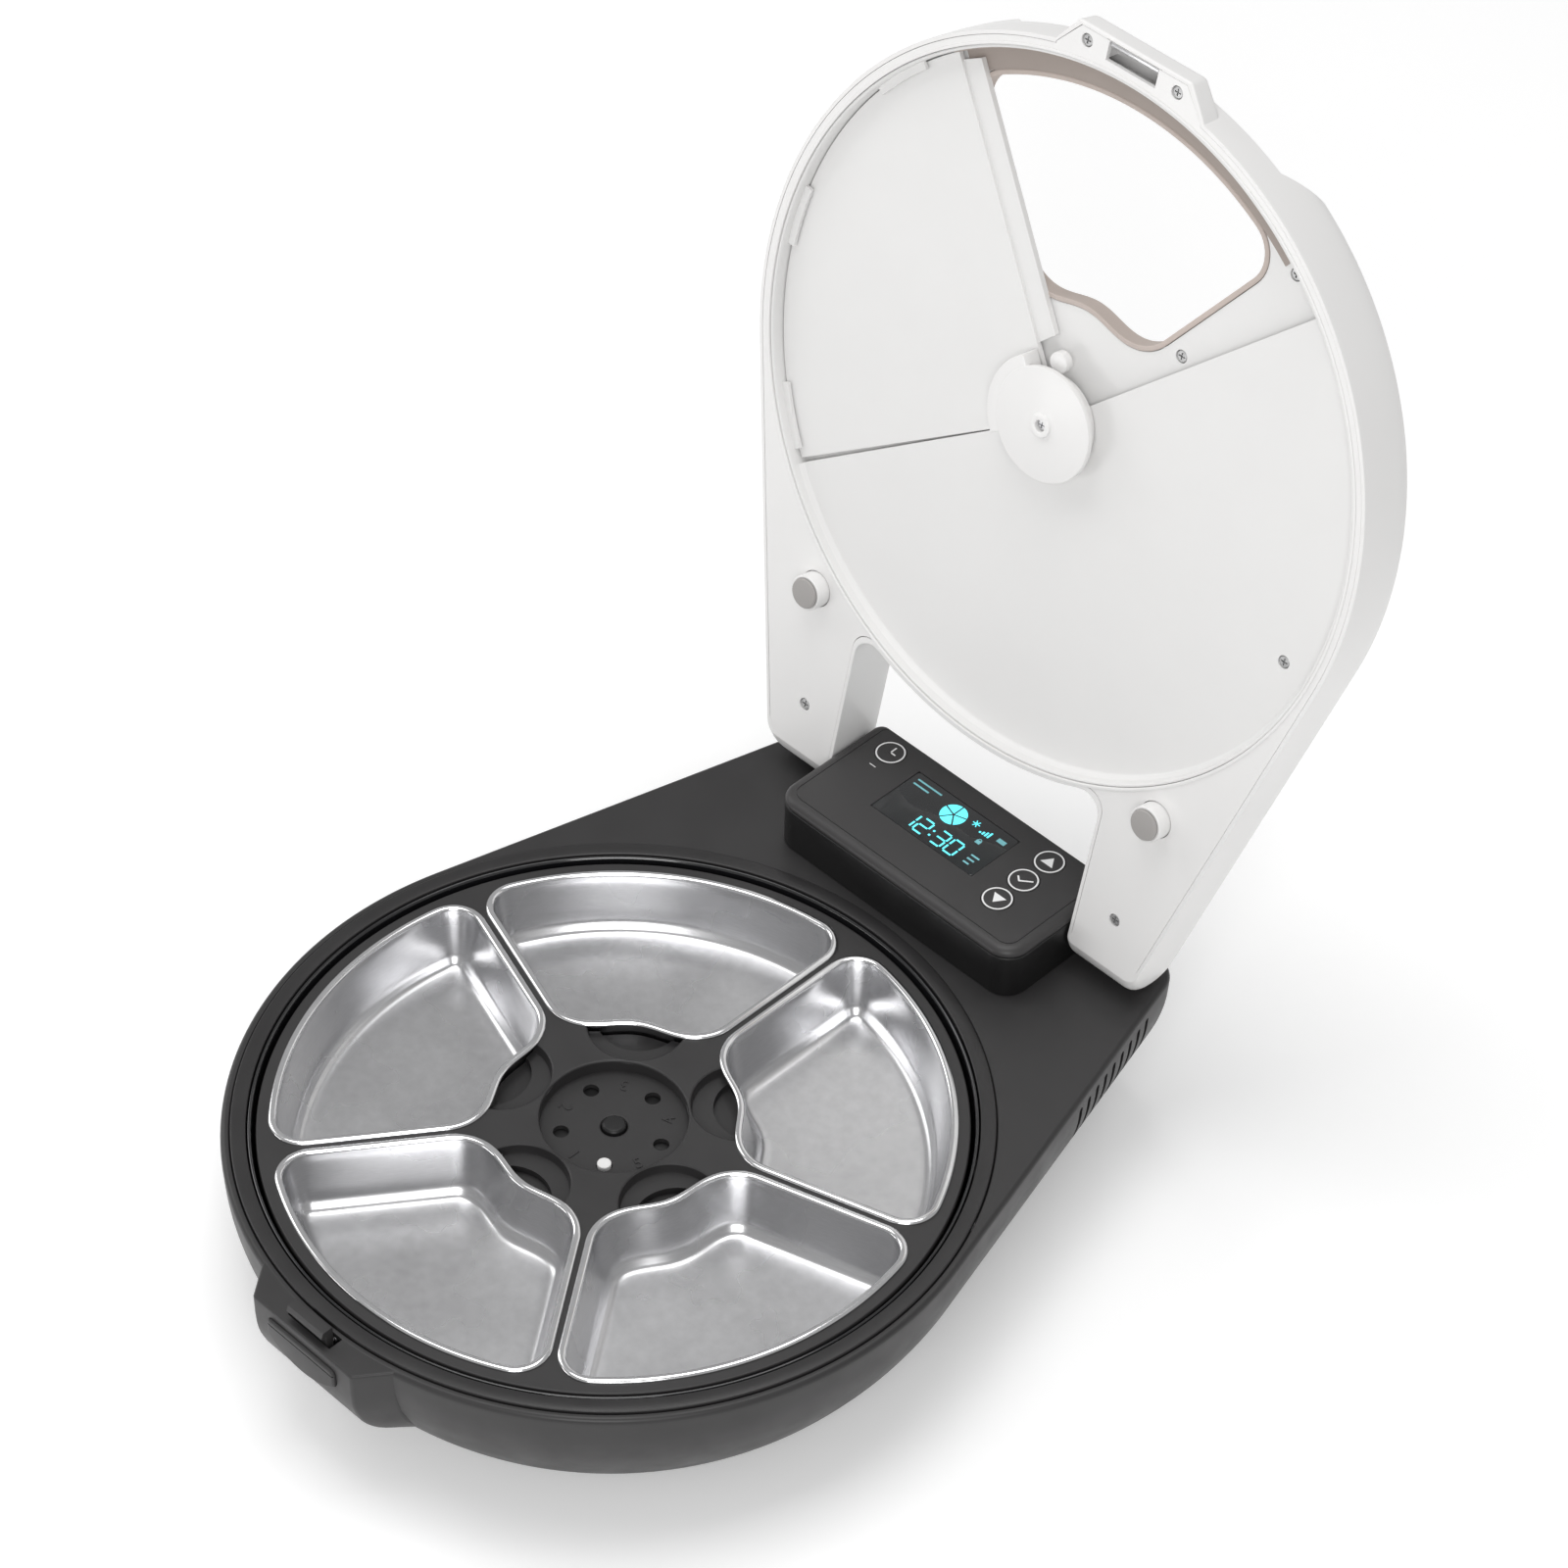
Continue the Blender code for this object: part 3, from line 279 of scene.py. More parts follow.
def base_outline(inset):
    """The base in plan: a round front whose sides run on to a narrower, rounded rear."""
    radius = BASE_RADIUS - inset
    rear = BASE_REAR - inset
    half = arc(radius, -90.0, TAIL_ANGLE, 70)
    half += fillet(half[-1], tangent_corner(radius, rear), (0.0, rear), BASE_ROUND, 12)
    half.append((0.0, rear))
    return mirrored(half)


def lid_outline(inset, end):
    """The lid in plan: a round front, two ears that reach the hinge, and a notch for the control box."""
    radius = LID_RADIUS - inset
    inner = EAR_INNER + inset
    rear = LID_REAR_RADIUS - inset
    outer_corner = tangent_corner(radius, end)
    inner_corner = (inner, end)
    notch = (inner, math.sqrt(rear ** 2 - inner ** 2))
    notch_angle = math.degrees(math.atan2(notch[1], notch[0]))
    half = arc(radius, -90.0, TAIL_ANGLE, 70)
    half += fillet(half[-1], outer_corner, inner_corner, 7.0, 6)
    half += fillet(outer_corner, inner_corner, notch, 3.0, 5)
    half += fillet(inner_corner, notch, polar(rear, notch_angle + 6.0), 9.0, 8)
    half += arc(rear, notch_angle + 8.0, 90.0, 16)
    return mirrored(half[:-1] + [(0.0, rear)])


def bowl_outline(inset):
    """A bowl in plan, at the front: a sector with round corners and a wavy inner edge."""
    outer = BOWL_OUTER - inset
    inner = BOWL_INNER + inset
    turn = math.radians(BOWL_ANGLE / 2)
    along = Vector((math.sin(turn), -math.cos(turn)))
    inward = Vector((-math.cos(turn), -math.sin(turn)))
    offset = BOWL_GAP / 2 + inset
    outer_round = max(BOWL_ROUND - inset, 4.0)
    reach = math.sqrt((outer - outer_round) ** 2 - (offset + outer_round) ** 2)
    centre = along * reach + inward * (offset + outer_round)
    tangent = math.degrees(math.atan2(centre.y, centre.x))
    half = arc(outer, -90.0, tangent, 20)
    half += arc(outer_round, tangent, BOWL_ANGLE / 2, 12, centre)[1:]
    away = inward * offset
    inner_corner = along * ((inner + away.y) / math.cos(turn)) + away
    bend = fillet(half[-1], inner_corner, (0.0, inner_corner.y), max(22.0 - inset, 6.0), 14)
    half += bend
    waves = 14
    for step in range(1, waves):
        share = step / waves
        dip = BOWL_WAVE * (1 - math.cos(math.pi * share)) / 2
        half.append((bend[-1][0] * (1 - share), bend[-1][1] - dip))
    half.append((0.0, bend[-1][1] - BOWL_WAVE))
    return mirrored(half)


def sector(inner, outer, start, end, steps):
    return arc(outer, start, end, steps) + arc(inner, end, start, max(steps // 2, 2))


def boss_outline(inset, shift=0.0, root=-146.0):
    """The latch boss in plan, with its back inside the wall it stands on."""
    side = BOSS_HALF_BACK - inset
    front = BOSS_HALF_FRONT - inset
    near = BOSS_FRONT + inset + shift
    return [(side, BOSS_BACK + shift), (side, root), (-side, root), (-side, BOSS_BACK + shift),
            (-front, near), (front, near)]


def button_outline(inset):
    """The latch button, seen from the front: a straight upper edge over a bowed lower one."""
    side, top = BUTTON_HALF - inset, BUTTON_TOP - inset
    half = arc(32.0 - inset, -90.0, -57.0, 10, (0.0, 24.0))
    half += fillet(half[-1], (side, -1.0), (side, top), 4.0 - inset, 5)
    half += fillet((side, -1.0), (side, top), (0.0, top), 2.2 - inset, 5)
    half.append((0.0, top))
    return mirrored(half)


def scoop_outline(grow):
    """The hollow in the lid's top, which is wider than the window and runs out at the front edge."""
    half = [(0.0, -220.0), (69.0 + grow, -220.0), (69.0 + grow, -146.0), (77.0 + grow, -118.0),
            (77.0 + grow, -105.0)]
    half += fillet((77.0 + grow, -105.0), (42.0 + 0.8 * grow, -46.0 + grow), (0.0, -46.0 + grow), 16.0)
    half.append((0.0, -46.0 + grow))
    return mirrored(half)


def smooth_curve(points, steps):
    """A Catmull-Rom curve through a list of pairs."""
    padded = [points[0]] + points + [points[-1]]
    curve = []
    for index in range(1, len(padded) - 2):
        p0, p1, p2, p3 = (Vector(p) for p in padded[index - 1:index + 3])
        for step in range(steps):
            t = step / steps
            point = p1 + 0.5 * t * ((p2 - p0) + t * ((2 * p0 - 5 * p1 + 4 * p2 - p3)
                                                     + t * (3 * (p1 - p2) + p3 - p0)))
            curve.append((point.x, point.y))
    curve.append(points[-1])
    return curve


# ---------------------------------------------------------------- meshes

def shade(mesh, angle=SMOOTH_ANGLE):
    """Smooth faces, with a sharp edge wherever they turn by more than the angle in degrees."""
    mesh.shade_smooth()
    mesh.set_sharp_from_angle(angle=math.radians(angle))


def placed(name, data):
    """A new object in the scene."""
    item = bpy.data.objects.new(name, data)
    bpy.context.scene.collection.objects.link(item)
    return item


def object_from(name, bm, smooth=SMOOTH_ANGLE):
    """An object from a bmesh that is in metres, which this frees."""
    mesh = bpy.data.meshes.new(name)
    bm.to_mesh(mesh)
    bm.free()
    shade(mesh, smooth)
    return placed(name, mesh)


def make_object(name, bm, smooth=SMOOTH_ANGLE):
    """Turns a bmesh in millimetres into an object in metres."""
    bmesh.ops.remove_doubles(bm, verts=bm.verts, dist=1e-4)
    bmesh.ops.recalc_face_normals(bm, faces=bm.faces)
    bmesh.ops.scale(bm, vec=(MM, MM, MM), verts=bm.verts)
    return object_from(name, bm, smooth)


def loft(name, rings, closed=False, smooth=SMOOTH_ANGLE):
    """A skin over rings that share a point count, capped at its ends unless it closes on itself."""
    bm = bmesh.new()
    rows = [[bm.verts.new(point) for point in ring] for ring in rings]
    count = len(rows[0])
    pairs = list(zip(rows, rows[1:]))
    if closed:
        pairs.append((rows[-1], rows[0]))
    for low, high in pairs:
        for i in range(count):
            j = (i + 1) % count
            bm.faces.new((low[i], low[j], high[j], high[i]))
    if not closed:
        bm.faces.new(list(reversed(rows[0])))
        bm.faces.new(rows[-1])
    return make_object(name, bm, smooth)


def stack(name, plan, pairs, closed=False, smooth=SMOOTH_ANGLE):
    """A skin over a plan, given as a function of its inset, at (height, inset) pairs."""
    return loft(name, [[(x, y, z) for x, y in plan(inset)] for z, inset in pairs], closed, smooth)


def prism(name, outline, bottom, top):
    return stack(name, lambda _: outline, [(bottom, 0.0), (top, 0.0)])


def edge_steps(bottom, top, low_round, high_round, steps=4):
    """(height, inset) pairs up a side whose lower and upper edges are rounded."""
    pairs = []
    for step in range(steps + 1):
        turn = math.pi / 2 * step / steps
        pairs.append((bottom + low_round * (1 - math.cos(turn)), low_round * (1 - math.sin(turn))))
    for step in range(steps + 1):
        turn = math.pi / 2 * step / steps
        pairs.append((top - high_round * (1 - math.sin(turn)), high_round * (1 - math.cos(turn))))
    return pairs


def soft_prism(name, outline, bottom, top, low_round, high_round, steps=4):
    """A plan given as a function of its inset, raised with rounded edges."""
    return stack(name, outline, edge_steps(bottom, top, low_round, high_round, steps))


def turned(name, profile, segments):
    """A solid of revolution. The profile is a loop of (radius, height), counter-clockwise."""
    bm = bmesh.new()
    rows = []
    for radius, height in profile:
        if radius < 1e-6:
            rows.append([bm.verts.new((0.0, 0.0, height))] * segments)
            continue
        row = []
        for step in range(segments):
            x, y = polar(radius, 360.0 * (step + 0.5) / segments)
            row.append(bm.verts.new((x, y, height)))
        rows.append(row)
    for low, high in zip(rows, rows[1:] + rows[:1]):
        for i in range(segments):
            j = (i + 1) % segments
            corners = []
            for vert in (low[i], low[j], high[j], high[i]):
                if vert not in corners:
                    corners.append(vert)
            if len(corners) > 2:
                bm.faces.new(corners)
    return make_object(name, bm)


def cylinder(name, radius, bottom, top, segments=64):
    return turned(name, [(0.0, bottom), (radius, bottom), (radius, top), (0.0, top)], segments)


def block(name, low, high):
    outline = [(low[0], low[1]), (high[0], low[1]), (high[0], high[1]), (low[0], high[1])]
    return prism(name, outline, low[2], high[2])


def moved(item, x=0.0, y=0.0, z=0.0, turn=0.0, axis="Z"):
    """Moves an object's mesh, in millimetres and degrees."""
    spin = Matrix.Rotation(math.radians(turn), 4, axis)
    item.data.transform(Matrix.Translation(Vector((x, y, z)) * MM) @ spin)
    return item


def final_mesh(item):
    """An object's mesh as its modifiers or its text leave it."""
    bpy.context.view_layer.update()
    graph = bpy.context.evaluated_depsgraph_get()
    return bpy.data.meshes.new_from_object(item.evaluated_get(graph), depsgraph=graph)


def settle(item):
    """Applies an object's modifiers to its mesh."""
    mesh = final_mesh(item)
    item.modifiers.clear()
    old = item.data
    item.data = mesh
    mesh.name = item.name
    bpy.data.meshes.remove(old)
    shade(mesh)


def carve(target, tools, operation="DIFFERENCE"):
    """Cuts tools away from an object, or joins them to it, and removes the tools."""
    for tool in tools:
        step = target.modifiers.new(tool.name, "BOOLEAN")
        step.operation = operation
        step.solver = "EXACT"
        step.object = tool
    settle(target)
    for tool in tools:
        bpy.data.objects.remove(tool, do_unlink=True)
    return target


def ease_edges(item, width, segments=2, angle=38.0):
    """Rounds an object's sharp edges."""
    step = item.modifiers.new("edges", "BEVEL")
    step.width = width * MM
    step.segments = segments
    step.limit_method = "ANGLE"
    step.angle_limit = math.radians(angle)
    step.miter_outer = "MITER_ARC"
    settle(item)


def flatten_shading(item):
    """Keeps flat faces flat and curved ones smooth."""
    item.modifiers.new("normals", "WEIGHTED_NORMAL").keep_sharp = True


def gather(name, items):
    """One object from several separate ones."""
    bm = bmesh.new()
    for item in items:
        bm.from_mesh(item.data)
        bpy.data.objects.remove(item, do_unlink=True)
    return object_from(name, bm)


# ---------------------------------------------------------------- materials

def shaded(colour, factor):
    return tuple(min(channel * factor, 1.0) for channel in colour)


class Look:
    """A new material, with the nodes that feed its shader."""

    def __init__(self, name):
        self.made = bpy.data.materials.new(name)
        self.made.use_nodes = True
        self.nodes = self.made.node_tree.nodes
        self.links = self.made.node_tree.links
        self.inputs = self.nodes["Principled BSDF"].inputs

    def feed(self, value, socket):
        self.links.new(value, self.inputs[socket])

    def noise(self, scale, detail=3.0, stretch=(1.0, 1.0, 1.0)):
        """A noise value in the object's own space, with its scale per metre."""
        place = self.nodes.new("ShaderNodeTexCoord")
        mapping = self.nodes.new("ShaderNodeMapping")
        mapping.inputs["Scale"].default_value = stretch
        texture = self.nodes.new("ShaderNodeTexNoise")
        texture.inputs["Scale"].default_value = scale
        texture.inputs["Detail"].default_value = detail
        self.links.new(place.outputs["Object"], mapping.inputs["Vector"])
        self.links.new(mapping.outputs["Vector"], texture.inputs["Vector"])
        return texture.outputs["Fac"]

    def spread(self, value, low, high, start=0.3, end=0.7):
        """Maps a noise value to a range."""
        step = self.nodes.new("ShaderNodeMapRange")
        step.inputs["From Min"].default_value = start
        step.inputs["From Max"].default_value = end
        step.inputs["To Min"].default_value = low
        step.inputs["To Max"].default_value = high
        self.links.new(value, step.inputs["Value"])
        return step.outputs["Result"]

    def tint(self, value, stops):
        """Colours along a value, from (place, colour) stops."""
        ramp = self.nodes.new("ShaderNodeValToRGB")
        bands = ramp.color_ramp.elements
        while len(bands) < len(stops):
            bands.new(0.5)
        for band, (place, colour) in zip(bands, stops):
            band.position = place
            band.color = (*colour, 1.0)
        self.links.new(value, ramp.inputs["Fac"])
        return ramp.outputs["Color"]

    def bump(self, value, strength, depth, under=None):
        """Adds relief, with its depth in millimetres, over any relief given."""
        step = self.nodes.new("ShaderNodeBump")
        step.inputs["Strength"].default_value = strength
        step.inputs["Distance"].default_value = depth * MM
        self.links.new(value, step.inputs["Height"])
        if under:
            self.links.new(under, step.inputs["Normal"])
        self.feed(step.outputs["Normal"], "Normal")
        return step.outputs["Normal"]


def moulded(name, colour, roughness, grain=1500.0, depth=0.04, strength=0.25, coat=0.0, mottle=0.06):
    """Moulded plastic or rubber: faint mottling, a spark-eroded grain and an uneven sheen."""
    look = Look(name)
    broad = look.noise(14.0, 4.0)
    stops = [(0.3, shaded(colour, 1.0 - mottle)), (0.7, shaded(colour, 1.0 + mottle))]
    look.feed(look.tint(broad, stops), "Base Color")
    patches = look.noise(55.0, 5.0)
    look.feed(look.spread(patches, roughness * 0.88, roughness * 1.14), "Roughness")
    wave = look.bump(look.noise(30.0, 2.0), 0.12, 0.06)
    look.bump(look.noise(grain, 2.0), strength, depth, wave)
    look.inputs["Coat Weight"].default_value = coat
    look.inputs["Coat Roughness"].default_value = 0.12
    look.inputs["Specular IOR Level"].default_value = 0.4
    return look.made


def metal(name, colour, roughness, streak=(1.0, 1.0, 14.0), grain=220.0, depth=0.012):
    """Worked metal: fine streaks along its grain and soft smears in its gloss."""
    look = Look(name)
    lines = look.noise(grain, 6.0, streak)
    stops = [(0.25, shaded(colour, 0.93)), (0.75, shaded(colour, 1.05))]
    look.feed(look.tint(lines, stops), "Base Color")
    smears = look.noise(18.0, 3.0)
    look.feed(look.spread(smears, roughness * 0.88, roughness * 1.15), "Roughness")
    look.bump(lines, 0.2, depth)
    look.inputs["Metallic"].default_value = 1.0
    return look.made


def polished_black(name):
    """The well's glossy black, with faint wiping marks in its gloss."""
    look = Look(name)
    broad = look.noise(10.0, 3.0)
    look.feed(look.tint(broad, [(0.3, (0.005, 0.005, 0.006)), (0.7, (0.011, 0.011, 0.012))]), "Base Color")
    wipes = look.noise(40.0, 6.0, (1.0, 3.5, 1.0))
    look.feed(look.spread(wipes, 0.07, 0.17), "Roughness")
    look.bump(look.noise(18.0, 2.0), 0.1, 0.05)
    look.inputs["Coat Weight"].default_value = 0.6
    look.inputs["Coat Roughness"].default_value = 0.04
    return look.made


def frosted(name):
    """The cold plate: pale metal under patches and needles of frost."""
    look = Look(name)
    place = look.nodes.new("ShaderNodeTexCoord")
    cells = look.nodes.new("ShaderNodeTexVoronoi")
    cells.feature = "DISTANCE_TO_EDGE"
    cells.inputs["Scale"].default_value = 90.0
    warp = look.nodes.new("ShaderNodeTexNoise")
    warp.inputs["Scale"].default_value = 60.0
    warp.inputs["Detail"].default_value = 8.0
    mix = look.nodes.new("ShaderNodeMix")
    mix.data_type = "VECTOR"
    mix.inputs["Factor"].default_value = 0.05
    look.links.new(place.outputs["Object"], warp.inputs["Vector"])
    look.links.new(place.outputs["Object"], mix.inputs["A"])
    look.links.new(warp.outputs["Color"], mix.inputs["B"])
    look.links.new(mix.outputs["Result"], cells.inputs["Vector"])
    patches = look.noise(26.0, 9.0)
    stops = [(0.34, (0.33, 0.48, 0.58)), (0.47, (0.58, 0.72, 0.80)), (0.62, (0.90, 0.95, 0.98))]
    look.feed(look.tint(patches, stops), "Base Color")
    look.feed(look.spread(patches, 0.25, 0.6), "Roughness")
    needles = look.bump(cells.outputs["Distance"], 0.45, 0.35)
    look.bump(look.noise(420.0, 8.0), 0.5, 0.15, needles)
    look.inputs["Metallic"].default_value = 0.15
    return look.made


def heater_film(name, centre):
    """The heating pad: amber film whose rings run from a pale centre to a red edge."""
    look = Look(name)
    place = look.nodes.new("ShaderNodeTexCoord")
    offset = look.nodes.new("ShaderNodeVectorMath")
    offset.operation = "SUBTRACT"
    offset.inputs[1].default_value = centre
    length = look.nodes.new("ShaderNodeVectorMath")
    length.operation = "LENGTH"
    look.links.new(place.outputs["Object"], offset.inputs[0])
    look.links.new(offset.outputs["Vector"], length.inputs[0])
    reach = look.spread(length.outputs["Value"], 0.0, 1.0, 0.0, 0.034)
    stops = [(0.0, (1.0, 0.90, 0.70)), (0.26, (1.0, 0.82, 0.45)), (0.34, (1.0, 0.42, 0.03)),
             (0.62, (0.95, 0.30, 0.01)), (0.82, (0.85, 0.16, 0.01)), (1.0, (0.45, 0.05, 0.01))]
    look.feed(look.tint(reach, stops), "Base Color")
    look.feed(look.spread(look.noise(120.0, 5.0), 0.28, 0.45), "Roughness")
    look.bump(look.noise(700.0, 3.0), 0.3, 0.03)
    return look.made


def glowing(name, colour, strength):
    """Lit marks of the display, a little uneven as the light behind them is."""
    look = Look(name)
    value = look.noise(300.0, 2.0)
    shade = look.tint(value, [(0.2, shaded(colour, 0.8)), (0.8, colour)])
    look.feed(shade, "Base Color")
    look.feed(shade, "Emission Color")
    look.feed(look.spread(value, 0.35, 0.5), "Roughness")
    look.inputs["Emission Strength"].default_value = strength
    return look.made


def display_glass(name):
    look = Look(name)
    value = look.noise(60.0, 3.0)
    look.feed(look.tint(value, [(0.3, (0.004, 0.005, 0.006)), (0.7, (0.010, 0.011, 0.013))]), "Base Color")
    look.feed(look.spread(value, 0.05, 0.10), "Roughness")
    look.inputs["Coat Weight"].default_value = 1.0
    look.inputs["Coat Roughness"].default_value = 0.03
    return look.made


def floor_material(name):
    look = Look(name)
    value = look.noise(3.0, 2.0)
    look.feed(look.tint(value, [(0.3, (0.93, 0.93, 0.93)), (0.7, (0.95, 0.95, 0.95))]), "Base Color")
    look.inputs["Roughness"].default_value = 0.7
    look.inputs["Specular IOR Level"].default_value = 0.2
    look.inputs["Emission Color"].default_value = (1.0, 1.0, 1.0, 1.0)
    look.inputs["Emission Strength"].default_value = 0.18
    return look.made


CHARCOAL = moulded("charcoal plastic", (0.030, 0.029, 0.0295), 0.42, 1400.0, 0.05, 0.3)
PANEL = moulded("panel plastic", (0.040, 0.0385, 0.039), 0.40, 1400.0, 0.05, 0.3)
BAND = moulded("satin ring plastic", (0.024, 0.023, 0.0235), 0.34, 1400.0, 0.04, 0.25)
BLACK = moulded("black satin plastic", (0.010, 0.0098, 0.010), 0.36, 1600.0, 0.04, 0.25)
GLOSS_BLACK = polished_black("gloss black plastic")
WHITE = moulded("warm white plastic", (0.80, 0.793, 0.785), 0.34, 1800.0, 0.02, 0.15, 0.15, 0.012)
WHITE_MATT = moulded("fine white plastic", (0.77, 0.765, 0.757), 0.46, 1500.0, 0.035, 0.22, 0.0, 0.012)
GREY = moulded("grey pad", (0.36, 0.345, 0.335), 0.55, 1200.0, 0.05, 0.3)
GREY_GEAR = moulded("grey acetal", (0.45, 0.45, 0.44), 0.42, 1500.0, 0.03, 0.2)
SILICONE = moulded("beige silicone", (0.52, 0.45, 0.41), 0.55, 1400.0, 0.04, 0.25)
# Taupe lining: a beige liner colour lowered to a darker taupe as painted shade for the deep recess beyond the
# window.
LINING_AND_PAINTED_SHADE = moulded("taupe lining with painted shade", (0.37, 0.32, 0.29), 0.6, 1400.0, 0.04, 0.25)
RUBBER = moulded("black rubber", (0.028, 0.028, 0.028), 0.75, 900.0, 0.08, 0.45)
PRINT = moulded("white print", (0.85, 0.85, 0.85), 0.5, 1800.0, 0.01, 0.1)
BOARD = moulded("green circuit board", (0.02, 0.16, 0.06), 0.42, 700.0, 0.05, 0.3)
CERAMIC = moulded("white ceramic", (0.78, 0.78, 0.76), 0.6, 900.0, 0.04, 0.3)
BOWL_STEEL = metal("satin bowl steel", (0.62, 0.62, 0.63), 0.27, (1.0, 1.0, 14.0), 220.0, 0.004)
RIM_STEEL = metal("polished rim steel", (0.80, 0.80, 0.81), 0.13, (1.0, 1.0, 1.0), 120.0, 0.004)
STEEL = metal("plain steel", (0.56, 0.56, 0.57), 0.3, (9.0, 1.0, 1.0))
SCREW_STEEL = metal("dull screw steel", (0.50, 0.50, 0.50), 0.46, (1.0, 1.0, 1.0), 500.0, 0.01)
ALLOY = metal("extruded aluminium", (0.68, 0.68, 0.70), 0.36, (1.0, 1.0, 20.0))
BRASS = metal("turned brass", (0.70, 0.50, 0.20), 0.28, (1.0, 1.0, 18.0))
FROST = frosted("frosted cold plate")
GLASS = display_glass("display glass")
CYAN = glowing("lit cyan marks", (0.12, 0.78, 0.88), 1.0)
PALE = glowing("lit pale marks", (0.16, 0.42, 0.46), 0.45)
FLOOR = floor_material("pale floor")


# ---------------------------------------------------------------- placing

def lid_matrix():
    """Takes the lid's drawing, in millimetres scaled to metres, to its open place."""
    there = Matrix.Translation(HINGE * MM)
    back = Matrix.Translation(-HINGE * MM)
    swing = Matrix.Rotation(math.radians(-LID_OPEN), 4, "X")
    return there @ swing @ back @ Matrix.Translation((0.0, 0.0, LID_PLANE * MM))


LID_SWING = lid_matrix()


def show(item, body, finish, stands_for=()):
    """Gives a piece its material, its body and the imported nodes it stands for."""
    if finish:
        item.data.materials.clear()
        item.data.materials.append(finish)
    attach(item, body)
    if stands_for:
        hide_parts(*stands_for)
    return item


def show_on_lid(item, finish, stands_for=(), body="lid"):
    item.data.transform(LID_SWING)
    return show(item, body, finish, stands_for)


# ---------------------------------------------------------------- base

def make_vent_cutters(side):
    """Round-ended upright slots through the tail's side wall."""
    slots = []
    for index in range(VENT_COUNT):
        place = VENT_FRONT + VENT_PITCH * index
        outline = arc(VENT_RADIUS, 0.0, 180.0, 6, (place, VENT_TOP))
        outline += arc(VENT_RADIUS, 180.0, 360.0, 6, (place, VENT_BOTTOM))
        rings = [[(side * x, y, z) for y, z in outline] for x in (85.0, 150.0)]
        slots.append(loft(f"vent_{index}", rings))
    return gather(f"vents_{side:+.0f}", slots)


def make_housing():
    """The hollow pear-shaped shell with the latch boss, vents and power inlet."""
    pairs = smooth_curve(SIDE_PROFILE, 5)
    pairs += edge_steps(60.0, DECK, 0.0, EDGE_ROUND, 5)[6:]
    housing = stack("housing", base_outline, pairs)
    boss = stack("boss", lambda shift: boss_outline(0.12 * shift, shift, -110.0),
                 [(z, shift) for shift, z in smooth_curve(BOSS_PROFILE, 3)])
    ease_edges(boss, 1.2, 3, 24.0)
    inner = [(z, inset) for z, inset in smooth_curve(SIDE_PROFILE, 2) if z < DECK - 2 * WALL]
    inner.append((DECK - WALL, 0.0))
    inner.insert(0, (HOUSING_BOTTOM - 2.0, SIDE_PROFILE[0][1]))
    cutters = [
        stack("cavity", lambda inset: base_outline(inset + WALL), inner),
        turned("well_hole", [(0.0, DECK - 10.0), (RING_RADIUS + 0.35, DECK - 10.0),
                             (RING_RADIUS + 0.35, DECK - 0.5), (RING_RADIUS + 0.9, DECK + 0.1),
                             (RING_RADIUS + 0.9, DECK + 5.0), (0.0, DECK + 5.0)], 220),
        block("latch_pocket", (-24.0, -168.4, 47.0), (24.0, -151.0, 68.2)),
        moved(prism("latch_window", button_outline(-0.4), -5.0, 12.0), 0.0, -165.0, 58.0, 90.0, "X"),
        block("hook_slot", (-12.6, -167.2, 60.0), (12.6, -160.4, 75.0)),
        block("inlet", (37.6, 200.0, 17.6), (52.4, 240.0, 30.4)),
        make_vent_cutters(1.0),
        make_vent_cutters(-1.0),
    ]
    carve(housing, [boss], "UNION")
    carve(housing, cutters)
    flatten_shading(housing)
    show(housing, "base", CHARCOAL, ["base_housing"])


def make_underside():
    """The flat cover with its intake grille, and four rubber feet."""
    low, high = node_box("bottom_cover")
    inset = SIDE_PROFILE[0][1] + WALL + 0.6
    cover = soft_prism("cover", lambda grow: base_outline(inset + grow), low.z, high.z, 0.8, 0.4, 2)
    slots = []
    place = node_centre("fan_frame").y
    for index in range(6):
        y = place - 20.0 + 8.0 * index
        outline = arc(1.5, -90.0, 90.0, 6, (18.5, y)) + arc(1.5, 90.0, 270.0, 6, (-18.5, y))
        slots.append(prism(f"slot_{index}", outline, 0.0, 8.0))
    carve(cover, [gather("intake", slots)])
    show(cover, "base", CHARCOAL, ["bottom_cover"])
    for corner in ("front_left", "front_right", "rear_left", "rear_right"):
        node = f"foot_{corner}"
        centre, top = node_centre(node), node_box(node)[1].z
        profile = [(0.0, 0.0), (3.0, 0.0), (3.4, 0.5), (5.4, 0.5), (5.8, 0.0), (9.0, 0.0), (9.0, top),
                   (0.0, top)]
        foot = moved(turned(f"sole_{corner}", soften(profile, 0.35), 64), centre.x, centre.y)
        show(foot, "base", RUBBER, [node])


def make_well():
    """The glossy insert: a satin flange, a fine groove, a curved wall and a flat floor."""
    under = WELL_FLOOR - 2.5
    wall = [(9.6, under), (132.5, under), (138.5, 38.0), (145.4, 44.0), (149.9, 54.0), (151.3, 63.0),
            (151.3, 71.3), (150.5, RING_TOP - 0.4), (WELL_RADIUS, 70.8), (149.2, 63.0), (147.5, 54.0),
            (143.0, 45.0), (136.5, 39.8), (131.0, WELL_FLOOR), (9.6, WELL_FLOOR)]
    liner = turned("well", soften(wall, 6.0, 5), 220)
    low, high = node_box("peltier_module")
    carve(liner, [block("cooler_hole", (low.x - 0.4, low.y - 0.4, 30.0), (high.x + 0.4, high.y + 0.4, 45.0))])
    show(liner, "base", GLOSS_BLACK, ["well_liner"])
    ring = [(151.9, 68.9), (RING_RADIUS, 68.9), (RING_RADIUS, RING_TOP), (151.9, RING_TOP)]
    show(turned("well_ring", soften(ring, 0.55), 220), "base", BAND)


